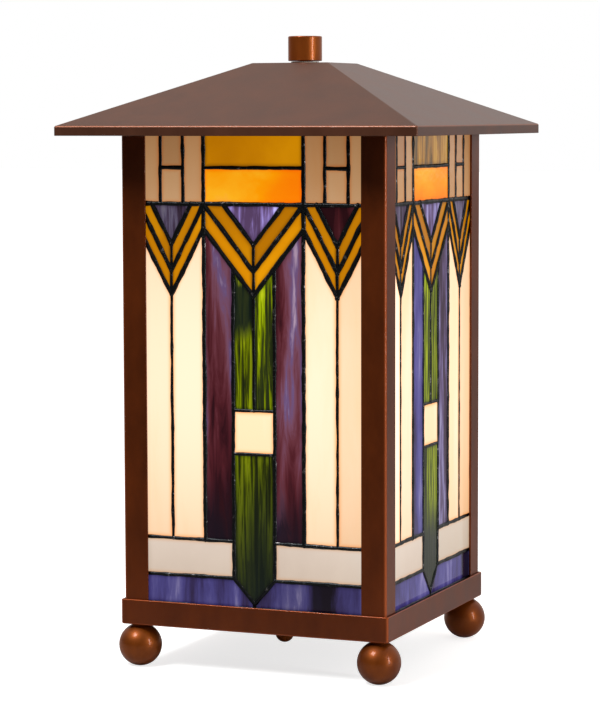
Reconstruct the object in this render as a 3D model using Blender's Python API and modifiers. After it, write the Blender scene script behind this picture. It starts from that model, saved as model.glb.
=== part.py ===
"""Stained glass table lamp: a bronze-painted steel lantern with four leaded glass panels,
a removable pyramid roof, ball feet, and a screw-in bulb on a riser pipe.

Frame: metres, +Z up, origin on the table under the middle of the lamp. The front is -Y.
Every side of the lamp is the same piece turned by a quarter turn about Z.
"""
import math

import bmesh
import bpy
from mathutils import Matrix, Vector

MM = 0.001
GAP = 0.3 * MM                      # air between pieces that touch on the real lamp
QUARTER = math.pi / 2
SIDES = ("front", "right", "back", "left")
CORNERS = ("front_left", "front_right", "back_right", "back_left")

# Outline of the lamp
BODY_HALF = 78.9 * MM               # outer faces of the corner posts
TRAY_HALF = 80.5 * MM               # outer faces of the tray's walls
TRAY_BOTTOM = 24.3 * MM
TRAY_TOP = 38.6 * MM
EAVE_HALF = 106.6 * MM
EAVE_BOTTOM = 299.7 * MM
EAVE_TOP = 305.0 * MM
ROOF_FLAT_HALF = 23.0 * MM
ROOF_TOP = 340.2 * MM
LAMP_TOP = 355.6 * MM

# Sheet metal
SHEET = 1.2 * MM
ROOF_SHEET = 1.0 * MM
POST_LEG = 14.6 * MM
POST_BEND = 1.5 * MM
TRAY_FLOOR = TRAY_BOTTOM + SHEET    # upper face of the tray's floor
RAIL_HALF = BODY_HALF - SHEET - GAP # outer faces of the rails and of the solder nets
SILL_LEDGE = 7.0 * MM
TOP_FLANGE = 10.0 * MM
RETAINER_LEG = 8.0 * MM
RETAINER_SHEET = 1.0 * MM
RETAINER_BEND = 0.6 * MM

# Roof pitch, and where the frame under it ends
ROOF_SLOPE = (ROOF_TOP - EAVE_TOP) / (EAVE_HALF - ROOF_FLAT_HALF)
ROOF_SHEET_UPRIGHT = ROOF_SHEET * math.hypot(1.0, ROOF_SLOPE)
FRAME_TOP = EAVE_TOP + (EAVE_HALF - BODY_HALF) * ROOF_SLOPE - ROOF_SHEET_UPRIGHT - GAP

# Leaded panel: columns are distances from its middle, rows are heights
PANEL_DEPTH = 5.2 * MM
LEAD_FACE = 0.8 * MM                # how far the lead stands proud of the glass
LEAD = 2.5 * MM                     # width of a lead line
BORDER = 0.6 * MM                   # lead outside the outermost glass edge
COL_SPEAR = 12.4 * MM
COL_MAIN = 29.8 * MM
COL_TOP_INNER = 42.4 * MM
COL_STEM = 49.6 * MM
COL_TOP_OUTER = 56.0 * MM
COL_EDGE = 2 * COL_STEM - COL_MAIN
ROW_BOTTOM = 37.2 * MM
ROW_POINT = 39.8 * MM
ROW_KICK = 53.8 * MM
ROW_RAIL = 74.6 * MM
ROW_SQUARE_LOW = 123.8 * MM
ROW_SQUARE_HIGH = 148.0 * MM
ROW_V_LOW = 211.5 * MM              # the three chevron lines where they meet a stem
ROW_V_MID = 225.0 * MM
ROW_V_HIGH = 239.5 * MM
ROW_BAND = 262.0 * MM
ROW_SPLIT = 282.0 * MM
ROW_TOP = 308.0 * MM
PANEL_BOTTOM = ROW_BOTTOM - BORDER
PANEL_TOP = ROW_TOP + BORDER
PANEL_HALF = COL_EDGE + BORDER

# Ball feet and their screws
BALL_R = 12.2 * MM
BALL_Z = 11.9 * MM
FOOT_AT = TRAY_HALF - 8.2 * MM
FOOT_NECK_R = 4.6 * MM
FOOT_NECK = 1.0 * MM                # how far the neck stands out of the ball
FOOT_BORE_R = 2.3 * MM
SCREW_R = 2.0 * MM
SCREW_HEAD_R = 3.6 * MM
SCREW_HEAD = 2.4 * MM
SCREW_TIP = 12.5 * MM
SCREW_POINT = 1.0 * MM

# Top fixing
STUD_R = 3.0 * MM
STUD_LOW = 305.0 * MM
STUD_TOP = 351.5 * MM
CROSSBAR_HALF = RAIL_HALF - SHEET - GAP
CROSSBAR_WIDTH = 14.0 * MM
CROSSBAR_SHEET = 1.8 * MM
STUD_NUT_FLATS = 10.0 * MM
STUD_NUT = 5.0 * MM
FINIAL_R = 9.7 * MM
FINIAL_CHAMFER = 0.5 * MM
WASHER_R = 8.0 * MM
WASHER = 0.7 * MM

# Lamp holder, bulb and switch
PIPE_R = 4.8 * MM
PIPE_BORE_R = 3.2 * MM
PIPE_LOW = 17.5 * MM
PIPE_TOP = 64.0 * MM
PIPE_NUT_FLATS = 16.0 * MM
PIPE_NUT = 5.0 * MM
HOLDER_R = 17.0 * MM
HOLDER_BORE_R = 14.8 * MM
HOLDER_LOW = 58.0 * MM
HOLDER_FLOOR = 68.0 * MM
HOLDER_TOP = 103.0 * MM
HOLDER_EDGE = 1.0 * MM
HOLDER_SHOULDER = 3.0 * MM          # how much the body narrows to its pipe neck
WIRE_DOOR_AT = 11.0 * MM            # how far from the axis the wires enter the holder
SHELL_R = 14.4 * MM
SHELL_BORE_R = 13.8 * MM
SHELL_LOW = 78.0 * MM
TAB_R = 6.0 * MM                    # the holder's centre contact: a tab with a spring button
TAB_SHEET = 1.0 * MM
BUTTON_R = 3.0 * MM
BUTTON = 6.0 * MM
CAP_R = 13.1 * MM
CAP_LOW = 78.0 * MM
CAP_TOP = 102.0 * MM
CAP_CONE = 3.0 * MM                 # height of the insulated cone under the cap's thread
CAP_FOOT_R = 8.0 * MM
TIP_R = 4.5 * MM
BULB_R = 30.0 * MM
BULB_Z = 155.0 * MM
BULB_NECK_R = 14.2 * MM
BULB_NECK = 8.0 * MM                # height of the neck over the cap
FLARE_POWER = 1.5                   # how the flare eases from the globe into the neck
SWITCH_AT = -33.0 * MM              # along Y
SWITCH_R = 9.5 * MM
SWITCH_BODY = 17.0 * MM
SWITCH_BUSH_R = 4.0 * MM
SWITCH_BUSH = 2.4 * MM              # how far the bush stands out under the tray
SWITCH_SHAFT_R = 1.6 * MM
SWITCH_NUT_R = 6.2 * MM
SWITCH_NUT = 1.6 * MM
KNOB_R = 5.4 * MM
KNOB_Z = 16.4 * MM
INLET_AT = 45.0 * MM                # along Y
INLET_R = 4.6 * MM
INLET_BORE_R = 3.4 * MM
INLET_RIM = 1.6 * MM                # width of the bush's rim under the tray
INLET_RIM_SHEET = 1.4 * MM
INLET_ABOVE = 4.0 * MM
WIRE_R = 1.2 * MM

ROUND = 20                          # sides of a turned piece
HOLE_SIDES = 12


def clear_scene():
    for obj in list(bpy.data.objects):
        bpy.data.objects.remove(obj, do_unlink=True)


def collection(name):
    coll = bpy.data.collections.new(name)
    bpy.context.scene.collection.children.link(coll)
    return coll


def material(name, colour, roughness, metallic):
    mat = bpy.data.materials.new(name)
    mat.use_nodes = True
    shader = mat.node_tree.nodes["Principled BSDF"]
    shader.inputs["Base Color"].default_value = (*colour, 1.0)
    shader.inputs["Roughness"].default_value = roughness
    shader.inputs["Metallic"].default_value = metallic
    mat.diffuse_color = (*colour, 1.0)
    return mat


clear_scene()
LAMP = collection("stained_glass_table_lamp")
CUTTERS = collection("cutters")

BRONZE = material("bronze_paint", (0.12, 0.04, 0.015), 0.38, 0.6)
LEADING = material("dark_solder", (0.02, 0.018, 0.018), 0.35, 0.8)
GLASS = material("art_glass", (0.9, 0.75, 0.5), 0.2, 0.0)
STEEL = material("plated_steel", (0.55, 0.55, 0.56), 0.35, 1.0)
BRASS = material("brass", (0.72, 0.5, 0.2), 0.3, 1.0)
PHENOLIC = material("phenolic", (0.02, 0.018, 0.016), 0.45, 0.0)
NYLON = material("nylon", (0.8, 0.78, 0.7), 0.5, 0.0)
FROSTED = material("frosted_bulb", (0.95, 0.92, 0.85), 0.5, 0.0)
INSULATION = material("wire_insulation", (0.06, 0.035, 0.02), 0.5, 0.0)


# ---- Making solids ---------------------------------------------------------------------

def place(name, mesh, mat, at=(0.0, 0.0, 0.0), turn=0.0):
    """Put a mesh in the lamp as one sub-part, turned about Z by turn and then moved."""
    obj = bpy.data.objects.new(name, mesh)
    obj.location = at
    obj.rotation_euler = (0.0, 0.0, turn)
    obj.data.materials.clear()
    obj.data.materials.append(mat)
    LAMP.objects.link(obj)
    return obj


def box_mesh(low, high):
    """A box between two corners."""
    low, high = Vector(low), Vector(high)
    mesh = bpy.data.meshes.new("box")
    bm = bmesh.new()
    bmesh.ops.create_cube(bm, size=1.0)
    size = high - low
    bmesh.ops.scale(bm, vec=size, verts=bm.verts)
    bmesh.ops.translate(bm, vec=(low + high) / 2, verts=bm.verts)
    bm.to_mesh(mesh)
    bm.free()
    return mesh


def prism_mesh(radius, low, high, sides=ROUND, turn=0.0):
    """An upright prism on the Z axis; radius is to its corners."""
    mesh = bpy.data.meshes.new("prism")
    bm = bmesh.new()
    bmesh.ops.create_cone(bm, cap_ends=True, segments=sides, radius1=radius, radius2=radius,
                          depth=high - low, matrix=Matrix.Rotation(turn, 4, "Z"))
    bmesh.ops.translate(bm, vec=(0.0, 0.0, (low + high) / 2), verts=bm.verts)
    bm.to_mesh(mesh)
    bm.free()
    return mesh


def turned(name, profile, mat, at=(0.0, 0.0, 0.0), steps=ROUND, closed=False):
    """A turned piece: (radius, height) points down its outer side, spun about Z.

    An open profile starts and ends on the axis; a closed one goes round a ring's section.
    """
    mesh = bpy.data.meshes.new(name)
    bm = bmesh.new()
    points = [bm.verts.new((r, 0.0, z)) for r, z in profile]
    for a, b in zip(points, points[1:]):
        bm.edges.new((a, b))
    if closed:
        bm.edges.new((points[-1], points[0]))
    bm.to_mesh(mesh)
    bm.free()
    obj = place(name, mesh, mat, at)
    screw = obj.modifiers.new("turn", "SCREW")
    screw.axis = "Z"
    screw.angle = 2 * math.pi
    screw.steps = steps
    screw.render_steps = steps
    screw.use_merge_vertices = True
    screw.merge_threshold = 0.00001
    screw.use_smooth_shade = True
    return obj


def outline_mesh(outlines, thickness):
    """Flat plates from closed outlines in XY that lie apart, centred on Z = 0."""
    curve = bpy.data.curves.new("outline", "CURVE")
    curve.dimensions = "2D"
    curve.fill_mode = "BOTH"
    curve.extrude = thickness / 2
    for points in outlines:
        spline = curve.splines.new("POLY")
        spline.points.add(len(points) - 1)
        for knot, (x, y) in zip(spline.points, points):
            knot.co = (x, y, 0.0, 1.0)
        spline.use_cyclic_u = True
    guide = bpy.data.objects.new("outline", curve)
    CUTTERS.objects.link(guide)
    bpy.context.view_layer.update()
    evaluated = guide.evaluated_get(bpy.context.evaluated_depsgraph_get())
    mesh = bpy.data.meshes.new_from_object(evaluated)
    bpy.data.objects.remove(guide, do_unlink=True)
    bm = bmesh.new()
    bm.from_mesh(mesh)
    bmesh.ops.remove_doubles(bm, verts=bm.verts, dist=0.000001)
    bm.to_mesh(mesh)
    bm.free()
    return mesh


def cut(obj, mesh, at=(0.0, 0.0, 0.0)):
    """Cut a mesh out of a sub-part; the cutter is placed in the lamp's frame."""
    cutter = bpy.data.objects.new(obj.name + "_cutter", mesh)
    cutter.location = at
    cutter.hide_render = True
    cutter.display_type = "WIRE"
    CUTTERS.objects.link(cutter)
    boolean = obj.modifiers.new("cut", "BOOLEAN")
    boolean.operation = "DIFFERENCE"
    boolean.solver = "EXACT"
    boolean.object = cutter


def carved(mesh, *cutters):
    """A mesh with cutter meshes taken out of it, for a shape that several pieces share."""
    block = bpy.data.objects.new("block", mesh)
    CUTTERS.objects.link(block)
    for cutter in cutters:
        cut(block, cutter)
    bpy.context.view_layer.update()
    evaluated = block.evaluated_get(bpy.context.evaluated_depsgraph_get())
    result = bpy.data.meshes.new_from_object(evaluated)
    bpy.data.objects.remove(block, do_unlink=True)
    return result


def arc(centre, radius, start, end, count):
    """Points on an arc, both ends included; angles in radians."""
    return [(centre[0] + radius * math.cos(start + (end - start) * i / count),
             centre[1] + radius * math.sin(start + (end - start) * i / count))
            for i in range(count + 1)]


def side_turn(side):
    return SIDES.index(side) * QUARTER


def corner_turn(corner):
    return CORNERS.index(corner) * QUARTER


# ---- Base ------------------------------------------------------------------------------

def base_tray():
    """Folded steel tray: floor, four upturned walls, open at the top."""
    mesh = box_mesh((-TRAY_HALF, -TRAY_HALF, TRAY_BOTTOM), (TRAY_HALF, TRAY_HALF, TRAY_TOP))
    tray = place("base_tray", mesh, BRONZE)
    inner = TRAY_HALF - SHEET
    cut(tray, box_mesh((-inner, -inner, TRAY_FLOOR), (inner, inner, TRAY_TOP + SHEET)))
    drill = [(0.0, 0.0, PIPE_R), (0.0, SWITCH_AT, SWITCH_BUSH_R), (0.0, INLET_AT, INLET_R)]
    drill += [(x * FOOT_AT, y * FOOT_AT, SCREW_R) for x in (-1, 1) for y in (-1, 1)]
    for x, y, radius in drill:
        hole = prism_mesh(radius + GAP, TRAY_BOTTOM - SHEET, TRAY_FLOOR + SHEET, HOLE_SIDES)
        cut(tray, hole, at=(x, y, 0.0))


def ball_profile():
    """Half outline of a ball foot with a short neck on top, a bore, and a flat under it."""
    neck_top = TRAY_BOTTOM - GAP
    top = math.asin((neck_top - FOOT_NECK - BALL_Z) / BALL_R)
    bottom = -math.asin(BALL_Z / BALL_R)
    round_side = arc((0.0, BALL_Z), BALL_R, top, bottom, 9)
    bore_end = SCREW_TIP - SCREW_POINT
    return [(0.0, bore_end), (FOOT_BORE_R, bore_end), (FOOT_BORE_R, neck_top),
            (FOOT_NECK_R, neck_top), *round_side, (0.0, 0.0)]


def foot_screw_profile():
    seat = TRAY_FLOOR + GAP
    return [(0.0, seat + SCREW_HEAD), (SCREW_HEAD_R * 0.7, seat + SCREW_HEAD),
            (SCREW_HEAD_R, seat + SCREW_HEAD * 0.5), (SCREW_HEAD_R, seat), (SCREW_R, seat),
            (SCREW_R, SCREW_TIP + SCREW_POINT), (SCREW_R * 0.5, SCREW_TIP), (0.0, SCREW_TIP)]


def feet():
    for corner in CORNERS:
        x, y = Matrix.Rotation(corner_turn(corner), 2) @ Vector((-FOOT_AT, -FOOT_AT))
        turned("foot_ball_" + corner, ball_profile(), BRONZE, at=(x, y, 0.0))
        turned("foot_screw_" + corner, foot_screw_profile(), STEEL, at=(x, y, 0.0), steps=12)


# ---- Cage ------------------------------------------------------------------------------

def angle_outline(outer, leg, sheet, bend):
    """Section of an angle whose corner points to -X -Y, with a rounded bend."""
    inner = outer - sheet
    centre = (-outer + bend, -outer + bend)
    return [(-outer, -outer + leg), *arc(centre, bend, math.pi, 1.5 * math.pi, 4),
            (-outer + leg, -outer), (-outer + leg, -inner), (-inner, -inner),
            (-inner, -outer + leg)]


def corner_angles(prefix, outline, low, high, mat):
    """The same upright angle at each of the four corners."""
    for corner in CORNERS:
        mesh = outline_mesh([outline], high - low)
        place(prefix + corner, mesh, mat, at=(0.0, 0.0, (low + high) / 2),
              turn=corner_turn(corner))


def posts():
    outline = angle_outline(BODY_HALF, POST_LEG, SHEET, POST_BEND)
    corner_angles("corner_post_", outline, TRAY_FLOOR + GAP, FRAME_TOP, BRONZE)


def retainers():
    """Inner angles that hold the edges of two neighbouring panels against a post."""
    outer = RAIL_HALF - PANEL_DEPTH - GAP
    outline = angle_outline(outer, RETAINER_LEG, RETAINER_SHEET, RETAINER_BEND)
    top = FRAME_TOP - SHEET - CROSSBAR_SHEET - 2 * GAP
    corner_angles("retainer_", outline, PANEL_BOTTOM, top, BRONZE)


def mitred_rail(name, section, side):
    """A rail along one side: a section of (distance from the middle, height) points,
    drawn out along the side and mitred at both ends."""
    mesh = outline_mesh([[(-distance, height) for distance, height in section]], 2.0)
    bm = bmesh.new()
    bm.from_mesh(mesh)
    for vert in bm.verts:
        distance, height, end = -vert.co.x, vert.co.y, math.copysign(1.0, vert.co.z)
        vert.co = (end * (distance - GAP), -distance, height)
    bmesh.ops.recalc_face_normals(bm, faces=bm.faces)
    bm.to_mesh(mesh)
    bm.free()
    place(name, mesh, BRONZE, turn=side_turn(side))


def rails():
    outer, inner = RAIL_HALF, RAIL_HALF - SHEET
    sill, foot = PANEL_BOTTOM - GAP, TRAY_FLOOR + GAP
    ledge = outer - SILL_LEDGE
    flange = outer - TOP_FLANGE
    head = PANEL_TOP + GAP
    sill_section = [(outer, foot), (outer, sill), (ledge, sill), (ledge, sill - SHEET),
                    (inner, sill - SHEET), (inner, foot)]
    head_section = [(outer, head), (outer, FRAME_TOP), (flange, FRAME_TOP),
                    (flange, FRAME_TOP - SHEET), (inner, FRAME_TOP - SHEET), (inner, head)]
    for side in SIDES:
        mitred_rail("bottom_rail_" + side, sill_section, side)
        mitred_rail("top_rail_" + side, head_section, side)


# ---- Leaded panels ---------------------------------------------------------------------

def mirrored(piece):
    """The same glass piece on the other side of the panel's middle."""
    return [(-x, z) for x, z in reversed(piece)]


def glass_pieces():
    """Edges of every glass piece of a panel, on the centre lines of the leads."""
    centre_slope = (ROW_BAND - ROW_V_MID) / COL_MAIN
    side_slope = (ROW_BAND - ROW_V_MID) / (COL_STEM - COL_MAIN)
    centre_v = (ROW_BAND - ROW_V_HIGH) / centre_slope
    side_v = (ROW_BAND - ROW_V_HIGH) / side_slope
    shoulder = ROW_V_LOW + ROW_BAND - ROW_V_MID
    spear_top = ROW_V_LOW + COL_SPEAR * centre_slope

    def upright(left, right, low, high):
        return [(left, low), (right, low), (right, high), (left, high)]

    half = [
        upright(COL_MAIN, COL_TOP_INNER, ROW_BAND, ROW_TOP),
        upright(COL_TOP_INNER, COL_TOP_OUTER, ROW_BAND, ROW_SPLIT),
        upright(COL_TOP_INNER, COL_TOP_OUTER, ROW_SPLIT, ROW_TOP),
        upright(COL_TOP_OUTER, COL_EDGE, ROW_BAND, ROW_TOP),
        [(0.0, ROW_V_MID), (COL_MAIN, ROW_BAND), (centre_v, ROW_BAND), (0.0, ROW_V_HIGH)],
        [(0.0, ROW_V_LOW), (COL_MAIN, shoulder), (COL_MAIN, ROW_BAND), (0.0, ROW_V_MID)],
        [(COL_STEM, ROW_V_HIGH), (COL_STEM + side_v, ROW_BAND), (COL_STEM - side_v, ROW_BAND)],
        [(COL_STEM, ROW_V_MID), (COL_STEM, ROW_V_HIGH), (COL_STEM - side_v, ROW_BAND),
         (COL_MAIN, ROW_BAND)],
        [(COL_STEM, ROW_V_LOW), (COL_STEM, ROW_V_MID), (COL_MAIN, ROW_BAND),
         (COL_MAIN, shoulder)],
        [(COL_STEM, ROW_V_MID), (COL_EDGE, ROW_BAND), (COL_STEM + side_v, ROW_BAND),
         (COL_STEM, ROW_V_HIGH)],
        [(COL_STEM, ROW_V_LOW), (COL_EDGE, shoulder), (COL_EDGE, ROW_BAND),
         (COL_STEM, ROW_V_MID)],
        [(COL_SPEAR, ROW_RAIL), (COL_MAIN, ROW_RAIL), (COL_MAIN, shoulder),
         (COL_SPEAR, spear_top)],
        [(0.0, ROW_SQUARE_HIGH), (COL_SPEAR, ROW_SQUARE_HIGH), (COL_SPEAR, spear_top),
         (0.0, ROW_V_LOW)],
        [(COL_MAIN, ROW_RAIL), (COL_STEM, ROW_RAIL), (COL_STEM, ROW_V_LOW),
         (COL_MAIN, shoulder)],
        [(COL_STEM, ROW_RAIL), (COL_EDGE, ROW_RAIL), (COL_EDGE, shoulder),
         (COL_STEM, ROW_V_LOW)],
        upright(COL_SPEAR, COL_EDGE, ROW_KICK, ROW_RAIL),
        [(0.0, ROW_BOTTOM), (COL_EDGE, ROW_BOTTOM), (COL_EDGE, ROW_KICK),
         (COL_SPEAR, ROW_KICK), (0.0, ROW_POINT)],
    ]
    middle = [
        upright(-COL_MAIN, COL_MAIN, ROW_BAND, ROW_SPLIT),
        upright(-COL_MAIN, COL_MAIN, ROW_SPLIT, ROW_TOP),
        [(0.0, ROW_V_HIGH), (centre_v, ROW_BAND), (-centre_v, ROW_BAND)],
        upright(-COL_SPEAR, COL_SPEAR, ROW_SQUARE_LOW, ROW_SQUARE_HIGH),
        [(0.0, ROW_POINT), (COL_SPEAR, ROW_KICK), (COL_SPEAR, ROW_SQUARE_LOW),
         (-COL_SPEAR, ROW_SQUARE_LOW), (-COL_SPEAR, ROW_KICK)],
    ]
    return half + [mirrored(piece) for piece in half] + middle


def inset(piece, by):
    """Move each edge of a convex outline, given anticlockwise, inwards."""
    edges = []
    for (ax, ay), (bx, by_) in zip(piece, piece[1:] + piece[:1]):
        along = Vector((bx - ax, by_ - ay)).normalized()
        inward = Vector((-along.y, along.x))
        edges.append((Vector((ax, ay)) + inward * by, along))
    corners = []
    for (p, u), (q, v) in zip(edges[-1:] + edges[:-1], edges):
        cross = u.x * v.y - u.y * v.x
        step = ((q - p).x * v.y - (q - p).y * v.x) / cross
        corners.append(tuple(p + u * step))
    return corners


def stand_up(mesh):
    """Turn a plate drawn in XY into an upright one in XZ that faces -Y."""
    mesh.transform(Matrix.Rotation(QUARTER, 4, "X"))
    return mesh


def panels():
    """Four panels: a lead net that wraps the glass sheet, and the glass sheet in it."""
    windows = [inset(piece, LEAD / 2) for piece in glass_pieces()]
    middle = RAIL_HALF - PANEL_DEPTH / 2
    half_depth = PANEL_DEPTH / 2
    pocket_half, pocket_depth = COL_EDGE, half_depth - LEAD_FACE
    net_mesh = carved(
        box_mesh((-PANEL_HALF, -half_depth, PANEL_BOTTOM), (PANEL_HALF, half_depth, PANEL_TOP)),
        stand_up(outline_mesh(windows, 2 * PANEL_DEPTH)),
        box_mesh((-pocket_half, -pocket_depth, ROW_BOTTOM), (pocket_half, pocket_depth, ROW_TOP)))
    for side in SIDES:
        turn = side_turn(side)
        at = Matrix.Rotation(turn, 3, "Z") @ Vector((0.0, -middle, 0.0))
        place("solder_net_" + side, net_mesh, LEADING, at=at, turn=turn)
        sheet = box_mesh((-pocket_half + GAP, -pocket_depth + GAP, ROW_BOTTOM + GAP),
                         (pocket_half - GAP, pocket_depth - GAP, ROW_TOP - GAP))
        place("glass_panel_" + side, sheet, GLASS, at=at, turn=turn)


# ---- Roof and its fixing ---------------------------------------------------------------

def roof():
    """Pressed steel pyramid with a flat top and a turned-down edge, drilled for the stud."""
    mesh = bpy.data.meshes.new("roof")
    bm = bmesh.new()
    corner = math.sqrt(2.0)
    slope = bmesh.ops.create_cone(bm, cap_ends=True, segments=4, radius1=EAVE_HALF * corner,
                                  radius2=ROOF_FLAT_HALF * corner, depth=ROOF_TOP - EAVE_TOP,
                                  matrix=Matrix.Rotation(math.pi / 4, 4, "Z"))
    bmesh.ops.translate(bm, vec=(0.0, 0.0, (EAVE_TOP + ROOF_TOP) / 2), verts=slope["verts"])
    under = min(bm.faces, key=lambda face: face.calc_center_median().z)
    edges = list(under.edges)
    bmesh.ops.delete(bm, geom=[under], context="FACES_ONLY")
    lip = bmesh.ops.extrude_edge_only(bm, edges=edges)["geom"]
    lip_verts = [part for part in lip if isinstance(part, bmesh.types.BMVert)]
    bmesh.ops.translate(bm, vec=(0.0, 0.0, EAVE_BOTTOM - EAVE_TOP), verts=lip_verts)
    bmesh.ops.recalc_face_normals(bm, faces=bm.faces)
    bm.to_mesh(mesh)
    bm.free()
    obj = place("roof", mesh, BRONZE)
    shell = obj.modifiers.new("sheet", "SOLIDIFY")
    shell.thickness = ROOF_SHEET
    shell.offset = -1.0
    shell.use_even_offset = True
    hole = prism_mesh(STUD_R + 2 * GAP, ROOF_TOP - 2 * ROOF_SHEET, ROOF_TOP + ROOF_SHEET,
                      HOLE_SIDES)
    cut(obj, hole)


def hex_nut(name, flats, bore, low, high, mat):
    nut = place(name, prism_mesh(flats / 2 / math.cos(math.pi / 6), low, high, sides=6), mat)
    cut(nut, prism_mesh(bore + GAP, low - MM, high + MM, HOLE_SIDES))


def top_fixing():
    """Crossbar under the top rails, with the stud that the finial screws on to."""
    top = FRAME_TOP - SHEET - GAP
    low = top - CROSSBAR_SHEET
    bar = place("crossbar", box_mesh((-CROSSBAR_HALF, -CROSSBAR_WIDTH / 2, low),
                                     (CROSSBAR_HALF, CROSSBAR_WIDTH / 2, top)), STEEL)
    cut(bar, prism_mesh(STUD_R + GAP, low - MM, top + MM, HOLE_SIDES))
    place("stud", prism_mesh(STUD_R, STUD_LOW, STUD_TOP, HOLE_SIDES), STEEL)
    hex_nut("stud_nut_lower", STUD_NUT_FLATS, STUD_R, low - GAP - STUD_NUT, low - GAP, STEEL)
    hex_nut("stud_nut_upper", STUD_NUT_FLATS, STUD_R, top + GAP, top + GAP + STUD_NUT, STEEL)


def finial():
    """Turned knob with a blind threaded bore, on a captive nylon washer."""
    washer_low = ROOF_TOP + GAP
    washer_top = washer_low + WASHER
    bore = STUD_R + 2 * GAP
    turned("finial_washer", [(WASHER_R, washer_top), (WASHER_R, washer_low),
                             (bore, washer_low), (bore, washer_top)], NYLON, closed=True)
    low, edge = washer_top + GAP, FINIAL_CHAMFER
    bore_end = STUD_TOP + MM
    turned("finial", [(0.0, LAMP_TOP), (FINIAL_R - edge, LAMP_TOP),
                      (FINIAL_R, LAMP_TOP - edge), (FINIAL_R, low + edge),
                      (FINIAL_R - edge, low), (bore, low), (bore, bore_end), (0.0, bore_end)],
           BRONZE, steps=32)


# ---- Lamp holder, bulb, switch and wires -----------------------------------------------

def lamp_holder():
    """Riser pipe clamped in the tray's floor, with the lamp holder screwed on its top."""
    turned("riser_pipe", [(PIPE_R, PIPE_TOP), (PIPE_R, PIPE_LOW), (PIPE_BORE_R, PIPE_LOW),
                          (PIPE_BORE_R, PIPE_TOP)], BRASS, steps=16, closed=True)
    under, over = TRAY_BOTTOM - GAP, TRAY_FLOOR + GAP
    hex_nut("pipe_nut", PIPE_NUT_FLATS, PIPE_R, under - PIPE_NUT, under, BRASS)
    hex_nut("pipe_lock_nut", PIPE_NUT_FLATS, PIPE_R, over, over + PIPE_NUT, BRASS)
    neck = PIPE_R + GAP
    body = turned("holder_body", [
        (HOLDER_R - HOLDER_EDGE, HOLDER_TOP), (HOLDER_R, HOLDER_TOP - HOLDER_EDGE),
        (HOLDER_R, HOLDER_FLOOR), (HOLDER_R - HOLDER_SHOULDER, HOLDER_LOW + HOLDER_EDGE),
        (neck + HOLDER_SHOULDER, HOLDER_LOW), (neck, HOLDER_LOW), (neck, HOLDER_FLOOR),
        (HOLDER_BORE_R, HOLDER_FLOOR), (HOLDER_BORE_R, HOLDER_TOP)], PHENOLIC, closed=True)
    for side in (-1, 1):
        door = prism_mesh(WIRE_R + 2 * GAP, HOLDER_LOW - MM, HOLDER_FLOOR + MM, sides=10)
        cut(body, door, at=(0.0, side * WIRE_DOOR_AT, 0.0))
    shell_top = HOLDER_TOP - HOLDER_EDGE
    turned("holder_screw_shell", [(SHELL_R, shell_top), (SHELL_R, SHELL_LOW),
                                  (SHELL_BORE_R, SHELL_LOW), (SHELL_BORE_R, shell_top)],
           BRASS, closed=True)
    low = HOLDER_FLOOR + GAP
    tab_top, button_top = low + TAB_SHEET, low + BUTTON
    turned("holder_contact", [
        (0.0, button_top), (BUTTON_R, button_top - TAB_SHEET), (BUTTON_R, tab_top),
        (TAB_R, tab_top), (TAB_R, low), (0.0, low)], BRASS, steps=16)


def bulb():
    """Screw-in bulb: frosted globe, screw cap and centre contact."""
    flare_at = math.radians(120)
    globe = [(BULB_R * math.sin(a), BULB_Z + BULB_R * math.cos(a))
             for a in (flare_at * i / 10 for i in range(11))]
    (wide, high), low = globe[-1], CAP_TOP + BULB_NECK
    flare = [(BULB_NECK_R + (wide - BULB_NECK_R) * (1.0 - t) ** FLARE_POWER,
              high + (low - high) * t) for t in (0.3, 0.6, 1.0)]
    seam = CAP_TOP + GAP
    turned("bulb_glass", [*globe, *flare, (CAP_R, seam), (0.0, seam)], FROSTED)
    turned("bulb_cap", [(0.0, CAP_TOP), (CAP_R, CAP_TOP), (CAP_R, CAP_LOW + CAP_CONE),
                        (CAP_FOOT_R, CAP_LOW), (0.0, CAP_LOW)], STEEL)
    tip_low = HOLDER_FLOOR + GAP + BUTTON + GAP
    turned("bulb_contact", [(0.0, CAP_LOW - GAP), (TIP_R, CAP_LOW - GAP),
                            (BUTTON_R, tip_low), (0.0, tip_low)], BRASS, steps=16)


def switch():
    """Turn switch under the tray: body inside, threaded bush through the floor, ring nut
    and a small ball knob below."""
    at = (0.0, SWITCH_AT, 0.0)
    seat = TRAY_FLOOR + GAP
    bush_low = TRAY_BOTTOM - SWITCH_BUSH
    shaft_low = KNOB_Z + SWITCH_SHAFT_R
    turned("switch_body", [
        (0.0, seat + SWITCH_BODY), (SWITCH_R, seat + SWITCH_BODY), (SWITCH_R, seat),
        (SWITCH_BUSH_R, seat), (SWITCH_BUSH_R, bush_low), (SWITCH_SHAFT_R, bush_low),
        (SWITCH_SHAFT_R, shaft_low), (0.0, shaft_low)], PHENOLIC, at=at)
    nut_top = TRAY_BOTTOM - GAP
    nut_low, nut_bore = nut_top - SWITCH_NUT, SWITCH_BUSH_R + GAP
    turned("switch_nut", [(SWITCH_NUT_R, nut_top), (SWITCH_NUT_R, nut_low), (nut_bore, nut_low),
                          (nut_bore, nut_top)], BRASS, at=at, closed=True)
    bore = SWITCH_SHAFT_R + GAP
    top = math.acos((bore + MM) / KNOB_R)
    ball = arc((0.0, KNOB_Z), KNOB_R, top, -QUARTER, 7)
    ball[-1] = (0.0, KNOB_Z - KNOB_R)
    turned("switch_knob", [(0.0, shaft_low - GAP), (bore, shaft_low - GAP),
                           (bore, ball[0][1]), *ball], BRONZE, at=at, steps=16)


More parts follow.
